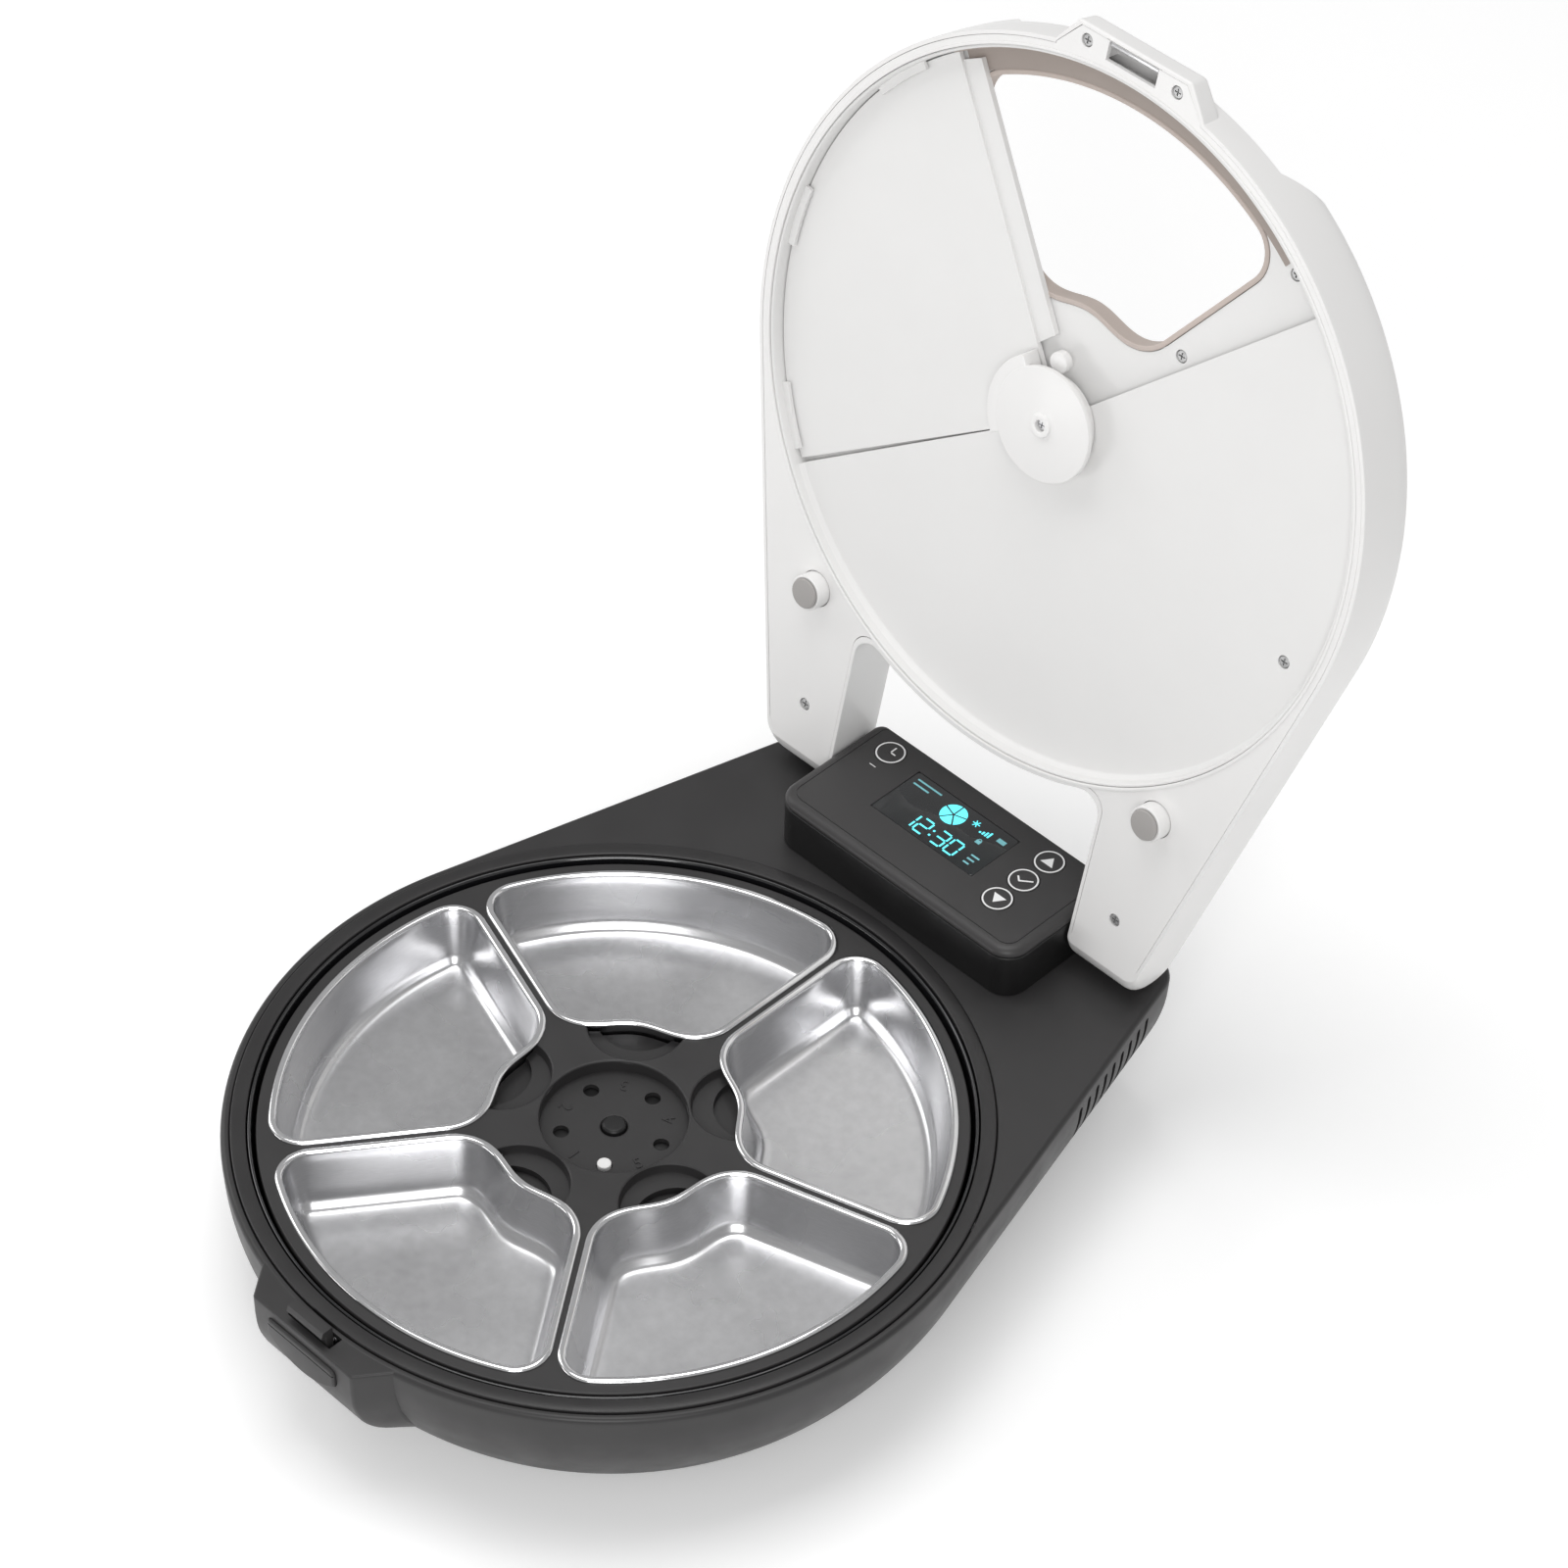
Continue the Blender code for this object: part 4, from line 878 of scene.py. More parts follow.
def cooling_plate_outline(grow):
    """A C-shaped plan with round corners at its open front."""
    outer, inner, start, corner = 127.0 - grow, 73.0 + grow, -49.0 + 0.5 * grow, 8.0 - grow
    heading = math.radians(start)
    ahead = Vector((-math.sin(heading), math.cos(heading))) * 20.0
    outer_end, inner_end = Vector(polar(outer, start)), Vector(polar(inner, start))
    half = fillet(inner_end + ahead, inner_end, outer_end, corner)
    half += fillet(inner_end, outer_end, outer_end + ahead, corner)
    half += arc(outer, start + 5.0, 90.0, 60)
    back = arc(inner, 90.0, start + 8.0, 50)
    outline = half + [(-x, y) for x, y in reversed(half[:-1])]
    return outline + [(-x, y) for x, y in reversed(back)] + back[1:]


def make_plates():
    """The frosted cold plate, and the heating pad with its rings of film."""
    low, high = node_box("cooling_plate")
    plate = soft_prism("cold_plate", cooling_plate_outline, low.z, high.z, 0.1, 0.5, 3)
    show(plate, "base", FROST, ["cooling_plate"])
    centre = node_centre("heating_pad")
    low, high = node_box("heating_pad")
    profile = [(0.0, low.z), (32.2, low.z), (32.2, high.z - 0.5)]
    for ring in range(7):
        outer = 31.4 - 3.2 * ring
        profile += [(outer, high.z), (outer - 1.9, high.z), (outer - 2.5, high.z - 0.5)]
    profile += [(9.2, high.z - 0.5), (8.8, high.z), (0.0, high.z)]
    pad = moved(turned("heater", soften(profile, 0.15, 2), 120), centre.x, centre.y)
    finish = heater_film("amber heater film", (centre.x * MM, centre.y * MM, high.z * MM))
    show(pad, "base", finish, ["heating_pad"])


def make_turntable():
    """The spindle's bush, and the splined boss with the disc that carries the tray."""
    bush = [(4.3, 34.0), (9.2, 34.0), (9.2, 38.3), (12.5, 38.3), (12.5, 39.8), (4.3, 39.8)]
    show(turned("bush", soften(bush, 0.3), 96), "base", BRASS, ["spindle_bush"])
    profile = [(0.0, 22.0), (4.0, 22.0), (4.0, 40.4), (12.0, 40.4), (12.0, 57.0), (26.0, 58.6), (26.0, 61.2),
               (5.2, 61.2), (5.2, 64.6), (4.2, 65.4), (0.0, 65.4)]
    hub = turned("turntable", soften(profile, 0.6), 96)
    ribs = []
    for index in range(6):
        ribs.append(moved(block(f"rib_{index}", (10.0, -1.0, 42.0), (19.0, 1.0, 58.0)), turn=60.0 * index))
    carve(hub, [gather("ribs", ribs)], "UNION")
    show(hub, "turntable", BLACK, ["turntable_hub"])


def make_latch():
    """The rounded front button, and the hook that stands up through the deck."""
    low, high = node_box("latch_button")
    middle = (low + high) / 2
    thick = high.y - low.y
    button = soft_prism("push_button", button_outline, 0.0, thick, 0.2, 1.1, 5)
    ledge = block("ledge", (-30.0, 5.1, thick - 0.7), (30.0, 5.7, thick + 1.0))
    carve(button, [ledge])
    moved(button, 0.0, high.y, middle.z, 90.0, "X")
    show(button, "latch", CHARCOAL, ["latch_button"])
    low, high = node_box("latch_hook")
    back = high.y
    side = [(back, low.z), (back - 3.4, low.z), (back - 3.4, high.z - 3.2), (low.y, high.z - 3.2),
            (low.y + 1.2, high.z), (back, high.z)]
    outline = soften(side, 0.5)
    places = (low.x, low.x + 0.01, high.x - 0.01, high.x)
    hook = loft("hook", [[(x, y, z) for y, z in outline] for x in places])
    ease_edges(hook, 0.5, 3)
    show(hook, "latch", CHARCOAL, ["latch_hook"])


# ---------------------------------------------------------------- control box

def box_plan(inset):
    return rounded_box(BOX_HALF - inset, BOX_FRONT + inset, BOX_REAR - inset, 11.0 - inset, 4.0 - inset)


def panel_plan(inset):
    """The control panel in plan, whose front and sides lean in further than its rear."""
    rear = 0.3 * inset
    return rounded_box(BOX_HALF - inset, BOX_FRONT + inset, BOX_REAR - rear, 11.0 - inset, 4.0 - rear)


def make_control_box():
    """The box at the rear, its domed panel with a groove and seats, and the display."""
    low, high = node_box("control_box")
    body = soft_prism("box_body", box_plan, low.z, high.z, 0.3, 0.8)
    hollow = prism("hollow", rounded_box(BOX_HALF - WALL, BOX_FRONT + WALL, BOX_REAR - WALL, 9.0, 2.0),
                   low.z + WALL, high.z + 4.0)
    carve(body, [hollow])
    show(body, "base", BLACK, ["control_box"])
    low, high = node_box("control_panel")
    pairs = [(low.z, 0.6), (low.z + 0.25, 0.1), (low.z + 0.6, 0.0)]
    for step in range(1, 9):
        turn = math.pi / 2 * step / 8
        pairs.append((low.z + 0.6 + (high.z - low.z - 0.6) * math.sin(turn), 4.6 * (1 - math.cos(turn))))
    panel = stack("panel", panel_plan, pairs)
    groove = prism("groove", panel_plan(4.9), high.z - 0.3, high.z + 1.0)
    carve(groove, [prism("groove_core", panel_plan(5.3), high.z - 1.0, high.z + 2.0)])
    near, far = node_box("display_window")
    cutters = [groove, block("display_seat", (near.x - 0.25, near.y - 0.25, high.z - 1.4),
                             (far.x + 0.25, far.y + 0.25, high.z + 1.0))]
    for name in KEYS:
        centre = node_centre(f"button_{name}")
        seat = cylinder(f"seat_{name}", KEY_RADIUS + 0.25, 90.0, 100.0)
        cutters.append(moved(seat, centre.x, centre.y))
    carve(panel, cutters)
    flatten_shading(panel)
    show(panel, "base", PANEL, ["control_panel"])

    def display_plan(inset):
        return rounded_box((far.x - near.x) / 2 - inset, near.y + inset, far.y - inset, 1.5, 1.5)

    glass = soft_prism("display", display_plan, near.z, high.z - 0.12, 0.1, 0.2)
    moved(glass, (near.x + far.x) / 2)
    show(glass, "base", GLASS, ["display_window"])
    make_display_marks((near + far) / 2, high.z - 0.12)


def flat_mark(name, outline, height, thick=0.06):
    return prism(name, outline, height, height + thick)


def bar(x, y, width, depth, slant=0.0):
    return [(x, y), (x + width, y), (x + width + slant, y + depth), (x + slant, y + depth)]


SEGMENTS = {"0": "abcdef", "1": "bc", "2": "abged", "3": "abgcd"}


def digit_marks(digit, x, y, size):
    """A seven-segment figure, from its lower left corner."""
    wide, thick = size * 0.52, size * 0.1
    half = size / 2
    left, right, low, tall = x - thick, x + wide, y + thick, half - thick
    places = {"a": (x, y + size, wide, thick), "g": (x, y + half, wide, thick), "d": (x, y, wide, thick),
              "f": (left, y + half + thick, thick, tall), "e": (left, low, thick, tall),
              "b": (right, y + half + thick, thick, tall), "c": (right, low, thick, tall)}
    return [bar(*places[segment]) for segment in SEGMENTS[digit]]


def make_display_marks(centre, height):
    """The lit signs: a meal wheel of five sectors, the hour, a signal, a lock and small bars."""
    bright = []
    for index in range(5):
        start = 90.0 + 72.0 * index
        outline = [polar(0.6, start + 36.0)] + arc(6.2, start + 3.5, start + 68.5, 12)
        bright.append([(centre.x - 1.2 + x, centre.y + 6.6 + y) for x, y in outline])
    for digit, place in (("1", -15.0), ("2", -7.6), ("3", 2.9), ("0", 10.4)):
        bright += digit_marks(digit, centre.x + place, centre.y - 12.8, 8.8)
    for up in (2.4, 5.6):
        bright.append(bar(centre.x - 0.5, centre.y - 12.8 + up, 1.0, 1.0))
    for index in range(4):
        bright.append(bar(centre.x + 13.6 + 1.5 * index, centre.y + 6.6, 0.9, 1.0 + 0.9 * index))
    for index in range(3):
        turn = math.radians(60.0 * index)
        across = Vector((math.cos(turn), math.sin(turn))) * 2.0
        side = Vector((-across.y, across.x)) * 0.12
        middle = Vector((centre.x + 9.6, centre.y + 9.6))
        bright.append([tuple(middle + across + side), tuple(middle - across + side),
                       tuple(middle - across - side), tuple(middle + across - side)])
    marks = [flat_mark(f"lit_{index}", outline, height) for index, outline in enumerate(bright)]
    show(gather("lit_marks", marks), "base", CYAN)
    dim = [bar(centre.x - 27.0, centre.y + 11.0, 14.0, 0.9), bar(centre.x - 27.0, centre.y + 8.0, 9.0, 0.9)]
    for row in range(3):
        dim.append(bar(centre.x + 21.0, centre.y - 6.0 - 2.6 * row, 4.6 - 0.7 * row, 0.9))
    dim.append(bar(centre.x + 16.4, centre.y + 1.0, 2.6, 2.1))
    shackle = arc(1.05, 0.0, 180.0, 8, (centre.x + 17.7, centre.y + 3.1))
    dim.append(shackle + arc(0.7, 180.0, 0.0, 8, (centre.x + 17.7, centre.y + 3.1)))
    dim.append(bar(centre.x + 22.6, centre.y + 8.0, 4.4, 2.4))
    marks = [flat_mark(f"dim_{index}", outline, height) for index, outline in enumerate(dim)]
    show(gather("dim_marks", marks), "base", PALE)


def icon_outlines(name):
    """Plain signs for the keys: a clock face, two triangles and a tick."""
    if name == "clock":
        return [bar(-0.35, -0.35, 0.7, 4.2), bar(-0.35, -0.35, 3.2, 0.7)]
    if name == "ok":
        return [[(-3.7, 0.1), (-3.2, 0.8), (-1.1, -1.1), (3.6, 2.5), (4.0, 1.9), (-1.1, -2.1)]]
    tip = 3.0 if name == "up" else -3.0
    triangle = [(-3.4, -tip * 0.7), (3.4, -tip * 0.7), (0.0, tip)]
    return [triangle if name == "up" else list(reversed(triangle))]


def make_keys():
    """The four keys with their printed rings and signs, and the mark below the clock key."""
    for name in KEYS:
        node = f"button_{name}"
        centre = node_centre(node)
        low, high = node_box(node)
        top = high.z - 0.06
        profile = [(0.0, low.z), (KEY_RADIUS, low.z), (KEY_RADIUS, top - 0.3), (KEY_RADIUS - 0.3, top),
                   (0.0, top)]
        key = moved(turned(f"key_{name}", soften(profile, 0.25), 72), centre.x, centre.y)
        show(key, f"key_{name}", PANEL, [node])
        marks = [turned(f"ring_{name}", [(5.95, top - 0.02), (6.65, top - 0.02), (6.65, top + 0.05),
                                         (5.95, top + 0.05)], 72)]
        marks += [flat_mark(f"icon_{name}_{index}", outline, top - 0.01)
                  for index, outline in enumerate(icon_outlines(name))]
        print_mark = moved(gather(f"sign_{name}", marks), centre.x, centre.y)
        show(print_mark, f"key_{name}", PRINT)
    centre = node_centre("button_clock")
    tick = flat_mark("panel_tick", bar(-1.8, -0.2, 3.6, 0.4), PANEL_TOP - 0.02)
    show(moved(tick, centre.x, centre.y - 11.2), "base", PRINT)


# ---------------------------------------------------------------- tray and bowls

def bowl_skin(name, profile, angle):
    """A bowl's outline at (inset, height) pairs, turned to the bowl's place."""
    pairs = [(z, inset) for inset, z in profile]
    return stack(name, lambda inset: turned_outline(bowl_outline(inset), angle), pairs, smooth=38.0)


def make_numeral(text, angle):
    """A raised figure beside its bowl, read from the front of the feeder."""
    curve = bpy.data.curves.new(f"figure_{text}", "FONT")
    curve.body = text
    curve.size = 8.0 * MM
    curve.extrude = 0.2 * MM
    curve.align_x = "CENTER"
    curve.align_y = "CENTER"
    writer = placed(f"figure_{text}_curve", curve)
    mesh = final_mesh(writer)
    bpy.data.objects.remove(writer, do_unlink=True)
    item = placed(f"figure_{text}", mesh)
    x, y = polar(PEG_CIRCLE + 1.0, angle)
    moved(item, x, y, RECESS_FLOOR + 0.15, angle + 90.0)
    show(item, "carousel", CHARCOAL)


def make_tray():
    """The tray: a skirted disc with pockets, two-level finger recesses and a numbered dish."""
    profile = [(5.5, 61.5), (RECESS_RADIUS + 2.0, 61.5), (RECESS_RADIUS + 2.0, TRAY_TOP - 2.2),
               (145.0, TRAY_TOP - 2.2), (143.3, 54.0), (145.6, 54.0), (TRAY_RADIUS, 68.6),
               (TRAY_RADIUS - 0.3, TRAY_TOP), (RECESS_RADIUS, TRAY_TOP), (RECESS_RADIUS, RECESS_FLOOR),
               (5.5, RECESS_FLOOR)]
    tray = turned("tray_plate", soften(profile, 0.9), 216)
    outer = [(12.5, 40.6), (8.4, 41.6), (4.6, 45.6), (2.4, 55.0), (0.6, 64.0), (0.0, 68.6)]
    inner = [(12.5, 42.2), (8.8, 43.2), (5.8, 47.6), (1.6, 67.0), (1.6, 69.6), (0.7, 70.4), (0.7, 73.0)]
    finger = [(0.0, 65.4), (FINGER_RADIUS - 0.8, 65.4), (FINGER_RADIUS - 0.4, 66.2), (FINGER_RADIUS, 69.6),
              (FINGER_RADIUS + 1.0, 70.3), (FINGER_RADIUS + 1.0, 74.0), (0.0, 74.0)]
    solids, cuts = [], []
    for index in range(BOWL_COUNT):
        angle = -index * BOWL_ANGLE
        x, y = polar(FINGER_CENTRE, angle - 90.0)
        solids.append(bowl_skin(f"pocket_{index}", outer, angle))
        solids.append(moved(cylinder(f"finger_{index}", FINGER_RADIUS + 1.6, 60.4, 69.0), x, y))
        cuts.append(bowl_skin(f"hollow_{index}", inner, angle))
        cuts.append(moved(turned(f"finger_cut_{index}", finger, 72), x, y))
        x, y = polar(FINGER_CENTRE + 6.5, angle - 90.0)
        cuts.append(moved(cylinder(f"finger_deep_{index}", 18.2, 62.0, 68.0), x, y))
        x, y = polar(PEG_CIRCLE, angle - 54.0)
        cuts.append(moved(cylinder(f"peg_cut_{index}", 3.4, 58.0, 68.0, 40), x, y))
    carve(tray, solids, "UNION")
    cuts.append(cylinder("recess", RECESS_RADIUS, RECESS_FLOOR, 68.5, 120))
    carve(tray, cuts)
    flatten_shading(tray)
    show(tray, "carousel", CHARCOAL, ["tray"])
    low, high = node_box("tray_peg")
    centre = (low + high) / 2
    profile = [(0.0, low.z), (3.0, low.z), (3.0, high.z), (0.0, high.z)]
    peg = moved(turned("peg", soften(profile, 0.5), 48), centre.x, centre.y)
    show(peg, "carousel", WHITE, ["tray_peg"])
    for index in range(BOWL_COUNT):
        make_numeral(str(index + 1), -90.0 - index * BOWL_ANGLE)


def bowl_profile():
    """(inset, height) pairs up a bowl's wall outside, over its rolled rim, and down its wall inside."""
    thick = 0.7
    outside = smooth_curve([(15.5, 42.7), (10.4, 43.5), (7.0, 48.6), (4.6, 57.5), (2.9, 66.0),
                            (2.7, 69.4)], 4)
    rim = [(2.5, 70.0), (0.1, 70.0)]
    for step in range(9):
        turn = math.pi * step / 8
        rim.append((1.7 - 1.7 * math.cos(turn) if step else 0.0, 70.35 + 1.05 * math.sin(turn)))
    inside = [(inset + thick, height if height > 46.0 else height + thick)
              for inset, height in reversed(outside)]
    return outside + rim + inside


def make_bowls():
    """Five drawn steel bowls, whose rims are rolled and brighter than their walls."""
    profile = bowl_profile()
    for index in range(BOWL_COUNT):
        name = f"bowl_{index + 1}"
        bowl = bowl_skin(f"steel_{name}", profile, -index * BOWL_ANGLE)
        bowl.data.materials.append(BOWL_STEEL)
        bowl.data.materials.append(RIM_STEEL)
        for face in bowl.data.polygons:
            if face.center.z > BOWL_RIM * MM:
                face.material_index = 1
        show(bowl, name, None, [name])


# ---------------------------------------------------------------- lid

def ear_end(height, radius):
    """How far back the ears reach at a height above the rim plane, round about the hinge axis."""
    above = height - (HINGE.z - LID_PLANE)
    return HINGE.y + math.sqrt(max(radius ** 2 - above ** 2, 1.0))


def lid_ring(height, inset, radius):
    return [(x, y, height) for x, y in lid_outline(inset, ear_end(height, radius))]


def pin_holes():
    """Cutters for the hinge pins' holes in the ears."""
    holes = []
    for side in (-1.0, 1.0):
        hole = cylinder(f"pin_hole_{side:+.0f}", 3.8, 60.0, 85.0)
        moved(hole, turn=90.0 * side, axis="Y")
        holes.append(moved(hole, 0.0, HINGE.y, HINGE.z - LID_PLANE))
    return holes


def make_lid_shell():
    """The lid's top and sides in one moulding, with a scoop from the window out through the edge."""
    top = smooth_curve([(2.0, 0.0), (9.0, 0.0), (18.0, 0.35), (25.0, 1.0), (29.5, 2.2), (31.4, 3.9),
                        (32.1, 5.8), (LID_HEIGHT, 9.0)], 4)
    pairs = [(0.0, 0.45), (0.12, 0.14), (0.45, 0.0)] + top
    shell = loft("lid_top", [lid_ring(z, inset, EAR_END_RADIUS) for z, inset in pairs])
    boss = stack("lid_boss", boss_outline, [(0.0, 0.0), (10.0, 0.4), (14.0, 4.4)])
    ease_edges(boss, 1.2, 3, 20.0)
    hollow = [lid_ring(z, LID_WALL, EAR_END_RADIUS - LID_WALL) for z in (-1.0, 3.0, 8.0, DISH_TOP + 0.5)]
    boss_hollow = prism("boss_hollow", boss_outline(LID_WALL, 0.0, -140.0), -1.0, 2.5)
    scoop = stack("scoop", scoop_outline,
                  [(SCOOP_FLOOR, 0.0), (SCOOP_FLOOR + 17.0, 14.0), (SCOOP_FLOOR + 30.0, 14.0)])
    pocket = block("catch_pocket", (-14.5, -169.4, -1.0), (14.5, -150.0, 9.5))
    window = prism("window", bowl_outline(WINDOW_INSET), 0.0, 40.0)
    carve(shell, [boss], "UNION")
    carve(shell, [scoop, loft("hollow", hollow), boss_hollow, pocket, window] + pin_holes())
    ease_edges(shell, 0.7, 3, 44.0)
    flatten_shading(shell)
    show_on_lid(shell, WHITE, ["lid_shell"])


def frame_outline(inset):
    return lid_outline(inset + FACE_INSET, ear_end(0.0, EAR_END_RADIUS) - 0.4)


def make_lid_frame():
    """The flat underside: the rim with its inner bead, the ears, and the latch boss with the hook's slot."""
    frame = prism("lid_face", frame_outline(0.0), FACE_BOTTOM, FACE_TOP)
    boss = prism("face_boss", boss_outline(FACE_INSET, 0.0, -150.0), FACE_BOTTOM, FACE_TOP)
    carve(frame, [boss], "UNION")
    cuts = [cylinder("dish_hole", DISH_RADIUS, -5.0, 10.0, 240),
            block("hook_hole", (-13.0, -168.9, -5.0), (13.0, -160.6, 10.0))]
    for side in (-1.0, 1.0):
        for (x, y), radius in ((EAR_SCREW, SCREW_HOLE), (LATCH_SCREW, SCREW_HOLE),
                               (BUMPER, BUMPER_RADIUS + 0.35)):
            cuts.append(moved(cylinder("face_hole", radius, -5.0, 10.0, 48), side * x, y))
    carve(frame, cuts)
    ease_edges(frame, 0.3, 2, 40.0)
    flatten_shading(frame)
    show_on_lid(frame, WHITE, ["lid_frame"])
    bead = [(DISH_RADIUS - 0.35, 2.3), (DISH_RADIUS - 0.35, -0.25), (DISH_RADIUS + 1.0, -0.25),
            (DISH_RADIUS + 1.0, 0.1), (DISH_RADIUS + 0.1, 0.35), (DISH_RADIUS + 0.1, 2.3)]
    show_on_lid(turned("rim_bead", soften(bead, 0.3), 240), WHITE)


def make_dish():
    """The dish: a raised floor, and a lower one where the shutter slides past the window."""
    profile = [(7.4, PLATEAU), (153.0, PLATEAU), (154.6, 3.6), (155.2, 0.5), (156.5, 0.5), (156.5, DISH_TOP),
               (7.4, DISH_TOP)]
    dish = turned("dish", soften(profile, 1.2), 240)
    start, end = SHUTTER_START - 0.8, SHUTTER_END + SHUTTER_TURN + 0.8
    recess = prism("shutter_recess", sector(3.0, 154.8, start, end, 90), 2.0, DISH_FLOOR)
    slot = [(0.0, 0.0), (152.0, 0.0), (152.0, 14.0), (0.0, 14.0)]
    seam = prism("seal_slot", turned_outline(slot, end - 1.0), 6.6, DISH_FLOOR)
    window = prism("dish_window", bowl_outline(WINDOW_INSET), 0.0, 20.0)
    cuts = [recess, seam, window]
    for node in ("screw_panel_inner", "screw_panel_outer", "screw_panel_side"):
        x, y, z = PANEL_SCREWS[node]
        cuts.append(moved(cylinder(f"hole_{node}", SCREW_HOLE, z - 1.0, z + 1.7, 40), x, y))
    carve(dish, cuts)
    tabs = []
    for index, angle in enumerate((222.3, 186.8, 152.0)):
        tabs.append(prism(f"tab_{index}", sector(151.4, 155.8, angle - 5.5, angle + 5.5, 10), 4.2, 5.8))
    carve(dish, tabs, "UNION")
    ease_edges(dish, 0.45, 3, 44.0)
    flatten_shading(dish)
    show_on_lid(dish, WHITE_MATT, ["lid_inner_panel"])


def make_seal():
    """The soft liner round the window, and the lining of the recess beyond its outer edge, coloured a darker
    taupe as painted shade of that deep recess.
    """
    pairs = [(9.4, 0.5), (9.7, 0.9), (17.0, 0.9), (17.4, 0.5), (17.4, -0.9), (17.0, -1.3), (9.7, -1.3),
             (9.4, -0.9)]
    seal = stack("seal", bowl_outline, pairs, closed=True)
    show_on_lid(seal, SILICONE, ["window_seal"])
    start = SHUTTER_END + 0.5
    # The lining's taupe is beige liner darkened with painted shade, where the deep recess falls into shade.
    lining = prism("lining", sector(154.4, 154.95, start, LINING_AND_SHADE_END, 60), 2.2, 10.1)
    carve(lining, [prism("lining_floor", sector(144.2, 154.6, start, LINING_AND_SHADE_END, 60), 9.75, 10.1)], "UNION")
    flatten_shading(lining)
    show_on_lid(lining, LINING_AND_PAINTED_SHADE)


def make_shutter():
    """The quarter-circle shutter with its stepped, ribbed edge, and the lobed hub that turns it."""
    corner = sector(8.0, SHUTTER_RADIUS, SHUTTER_START, SHUTTER_END, 60)
    panel = prism("shutter", corner, 6.4, 8.6)
    strip = [(32.0, -0.6), (SHUTTER_RADIUS - 3.6, -0.6), (SHUTTER_RADIUS - 4.6, 10.5), (34.0, 10.5)]
    rib = [(33.5, 9.1), (SHUTTER_RADIUS - 4.4, 9.1), (SHUTTER_RADIUS - 4.6, 10.5), (34.0, 10.5)]
    carve(panel, [prism("strip", turned_outline(strip, SHUTTER_END), 7.6, 9.6),
                  prism("rib", turned_outline(rib, SHUTTER_END), 6.9, 9.0)], "UNION")
    ease_edges(panel, 0.35, 3, 40.0)
    flatten_shading(panel)
    show_on_lid(panel, WHITE_MATT, ["shutter_panel"], "shutter")
    face = [(2.5, -5.1), (5.0, -5.1), (5.3, -3.9), (7.5, -3.6), (HUB_RADIUS, -3.6), (HUB_RADIUS, -0.9),
            (20.5, -0.9), (20.5, 5.6), (6.8, 5.6), (6.8, 13.2), (2.5, 13.2)]
    hub = turned("hub", soften(face, 0.4), 120)
    lobe = prism("lobe", sector(15.0, HUB_LOBE, SHUTTER_START, SHUTTER_END, 40), -3.4, 5.6)
    ease_edges(lobe, 0.4, 3, 40.0)
    lug_x, lug_y = polar(27.0, SHUTTER_END + 30.0)
    stud = [(0.0, 1.0), (4.6, 1.0), (4.6, 5.4), (0.0, 5.4)]
    lug = moved(turned("lug", soften(stud, 0.7), 40), lug_x, lug_y)
    carve(hub, [lobe, lug], "UNION")
    show_on_lid(hub, WHITE, ["shutter_hub"], "shutter")


def screw_piece(name, radius, top, bottom):
    """A domed screw head with a cross recess, facing down."""
    shank, reach = radius * 0.5, radius * 0.62
    profile = [(0.0, top), (radius * 0.9, top), (radius, top + 0.35), (radius, top + 1.2),
               (shank, top + 1.3), (shank, bottom), (0.0, bottom)]
    screw = turned(name, soften(profile, 0.25), 48)
    return carve(screw, [block("cross_a", (-reach, -0.32, top - 1.0), (reach, 0.32, top + 0.75)),
                         block("cross_b", (-0.32, -reach, top - 1.0), (0.32, reach, top + 0.75))])


def make_lid_fittings():
    """The screws, the catch, and the sprung bumpers with their grey pads."""
    for side, label in ((-1.0, "left"), (1.0, "right")):
        for kind, (x, y) in (("ear", EAR_SCREW), ("latch", LATCH_SCREW)):
            screw = moved(screw_piece(f"head_{kind}_{label}", SCREW_HEAD, 0.7, 6.0), side * x, y)
            show_on_lid(screw, SCREW_STEEL, [f"screw_{kind}_{label}"])
    for node, (x, y, z) in PANEL_SCREWS.items():
        screw = moved(screw_piece(f"head_{node}", SCREW_HEAD, z + 0.3, z + 1.6), x, y)
        show_on_lid(screw, SCREW_STEEL, [node])
    screw = screw_piece("head_hub", 2.4, -3.4, -0.8)
    show_on_lid(screw, STEEL, ["shutter_screw"], "shutter")
    catch = block("catch", (-12.6, -168.9, 0.6), (12.6, -166.9, 2.6))
    ease_edges(catch, 0.4, 3)
    show_on_lid(catch, STEEL, ["lid_catch"])
    sleeve = [(0.0, -6.3), (7.0, -6.3), (7.0, -6.6), (BUMPER_RADIUS, -6.6), (BUMPER_RADIUS, 3.9), (0.0, 3.9)]
    pad = [(0.0, -BUMPER_STAND), (6.8, -BUMPER_STAND), (6.8, -6.4), (0.0, -6.4)]
    for side, label in ((-1.0, "left"), (1.0, "right")):
        piece = moved(turned(f"plunger_{label}", soften(sleeve, 0.5), 80), side * BUMPER[0], BUMPER[1])
        show_on_lid(piece, WHITE, [f"bumper_{label}"], f"bumper_pin_{label}")
        piece = moved(turned(f"pad_{label}", soften(pad, 0.6), 80), side * BUMPER[0], BUMPER[1])
        show_on_lid(piece, GREY, (), f"bumper_pin_{label}")


# ---------------------------------------------------------------- carried-over nodes

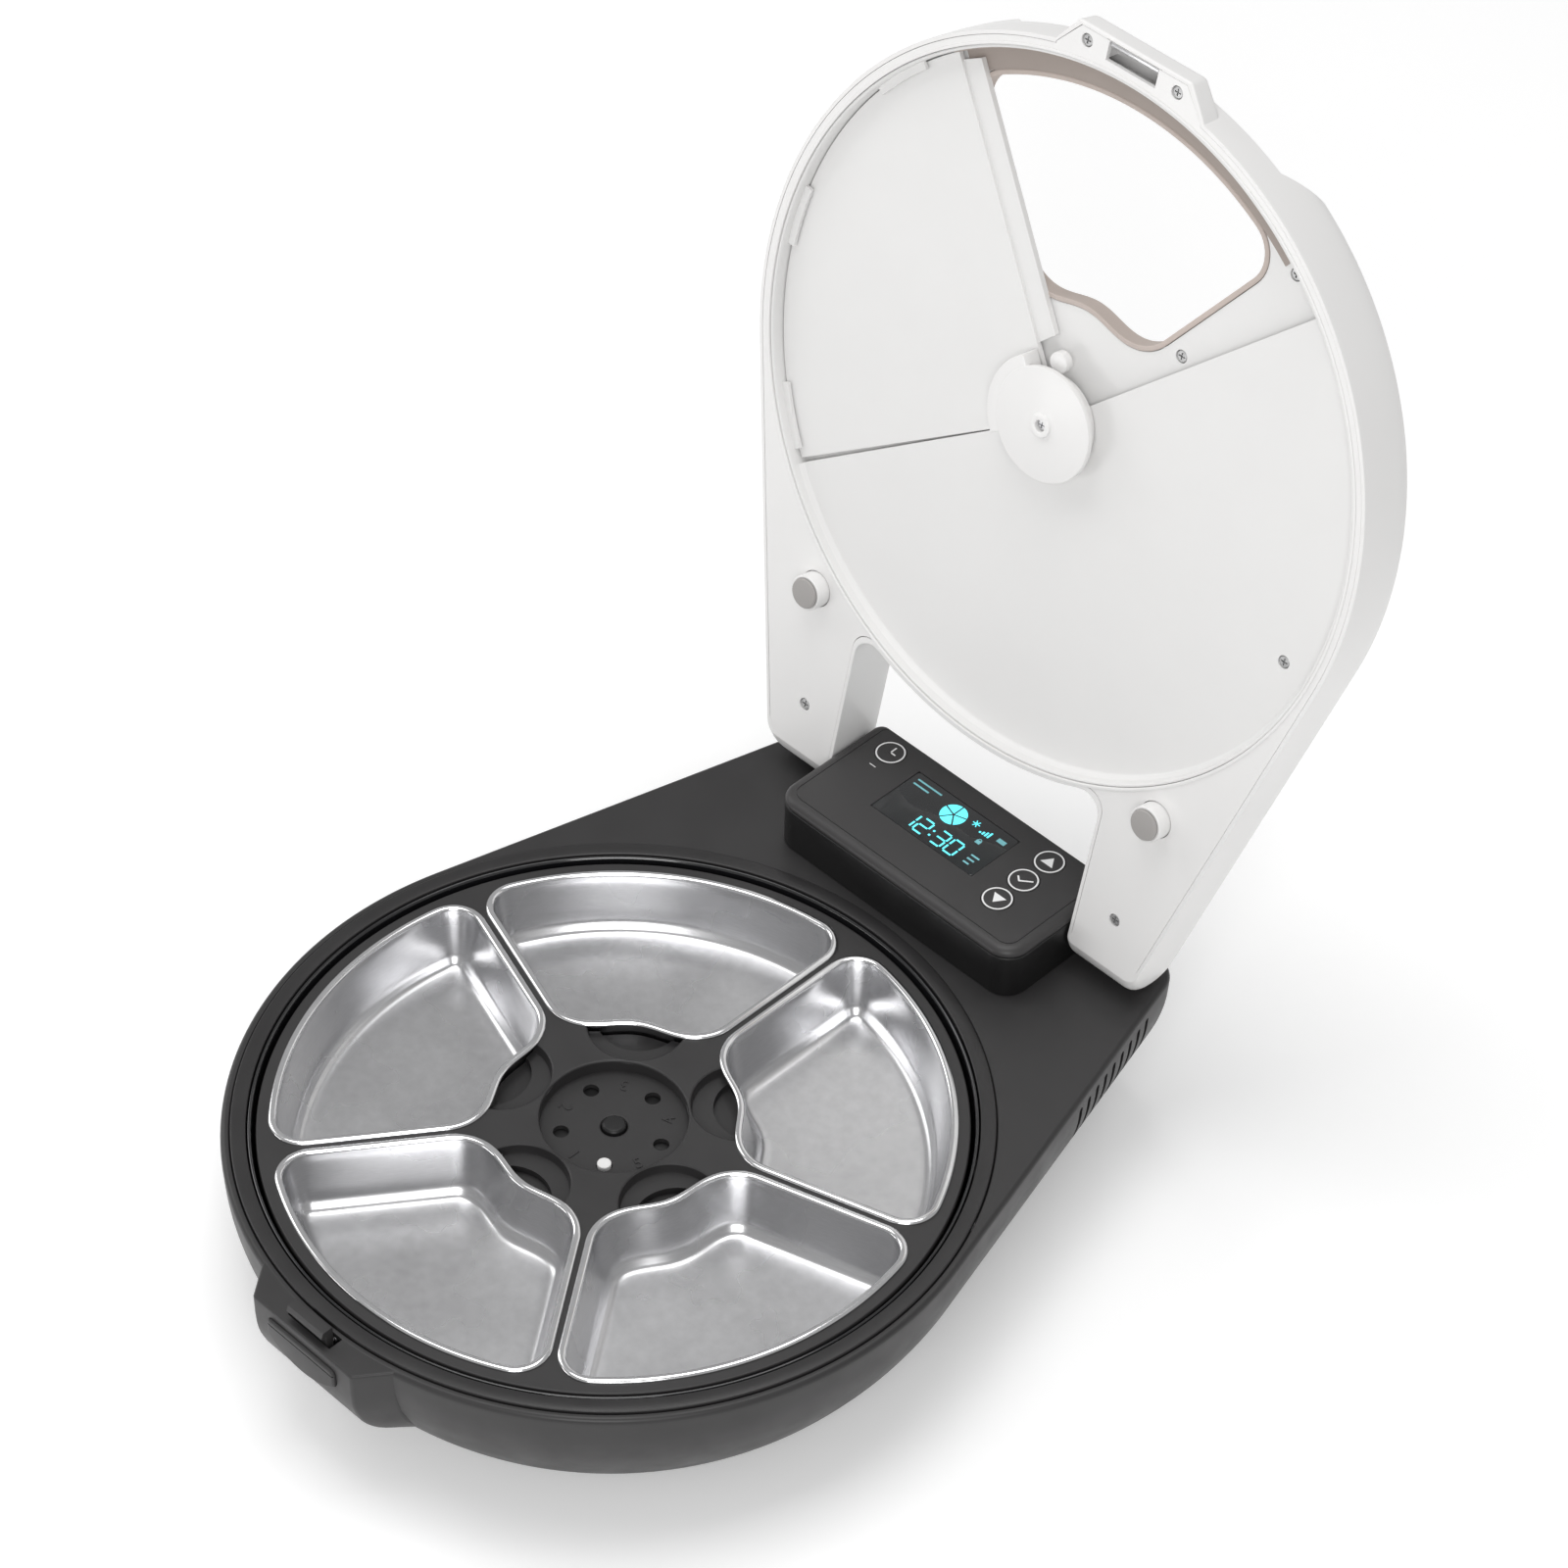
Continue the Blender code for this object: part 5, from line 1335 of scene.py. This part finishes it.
CARRIED = {"peltier_module": CERAMIC, "heat_sink": ALLOY, "fan_frame": BLACK, "fan_rotor": BLACK,
           "drive_motor": STEEL, "drive_gear": GREY_GEAR, "motor_pinion": BRASS, "power_board": BOARD,
           "control_board": BOARD, "dc_socket": BLACK, "hinge_pin_left": STEEL, "hinge_pin_right": STEEL,
           "latch_spring": STEEL, "shutter_motor": BLACK}


def finish_carried_nodes():
    """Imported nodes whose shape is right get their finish."""
    for name, finish in CARRIED.items():
        node = frame["nodes"][name]
        node.data.materials.clear()
        node.data.materials.append(finish)


# ---------------------------------------------------------------- studio

def make_camera():
    data = bpy.data.cameras.new("camera")
    data.lens = CAMERA_LENS
    data.sensor_width = 36.0
    data.clip_end = 20.0
    camera = placed("camera", data)
    turn = Matrix.Rotation(math.radians(CAMERA_YAW), 4, "Z")
    tip = Matrix.Rotation(math.radians(90.0 - CAMERA_PITCH), 4, "X")
    roll = Matrix.Rotation(math.radians(CAMERA_ROLL), 4, "Z")
    camera.matrix_world = Matrix.Translation(Vector(CAMERA_PLACE) * MM) @ turn @ tip @ roll
    bpy.context.scene.camera = camera


def area_light(name, place, target, size, power):
    data = bpy.data.lights.new(name, "AREA")
    data.shape = "RECTANGLE"
    data.size, data.size_y = size
    data.energy = power
    light = placed(name, data)
    light.location = place
    aim = Vector(target) - Vector(place)
    light.rotation_euler = aim.to_track_quat("-Z", "Y").to_euler()


def make_studio():
    bm = bmesh.new()
    bmesh.ops.create_grid(bm, x_segments=8, y_segments=8, size=FLOOR_HALF)
    ground = make_object("studio_floor", bm)
    ground.data.materials.append(FLOOR)
    bpy.context.scene.view_settings.view_transform = "Standard"
    world = bpy.data.worlds.new("studio")
    world.use_nodes = True
    background = world.node_tree.nodes["Background"]
    background.inputs["Color"].default_value = (1.0, 1.0, 1.0, 1.0)
    background.inputs["Strength"].default_value = WORLD_STRENGTH
    bpy.context.scene.world = world
    for name, light in LIGHTS.items():
        area_light(name, *light)


# ---------------------------------------------------------------- assembly

for make in (make_camera, make_studio, make_housing, make_underside, make_well, make_plates, make_turntable,
             make_latch, make_control_box, make_keys, make_tray, make_bowls, make_lid_shell, make_lid_frame,
             make_dish, make_seal, make_shutter, make_lid_fittings, finish_carried_nodes):
    make()
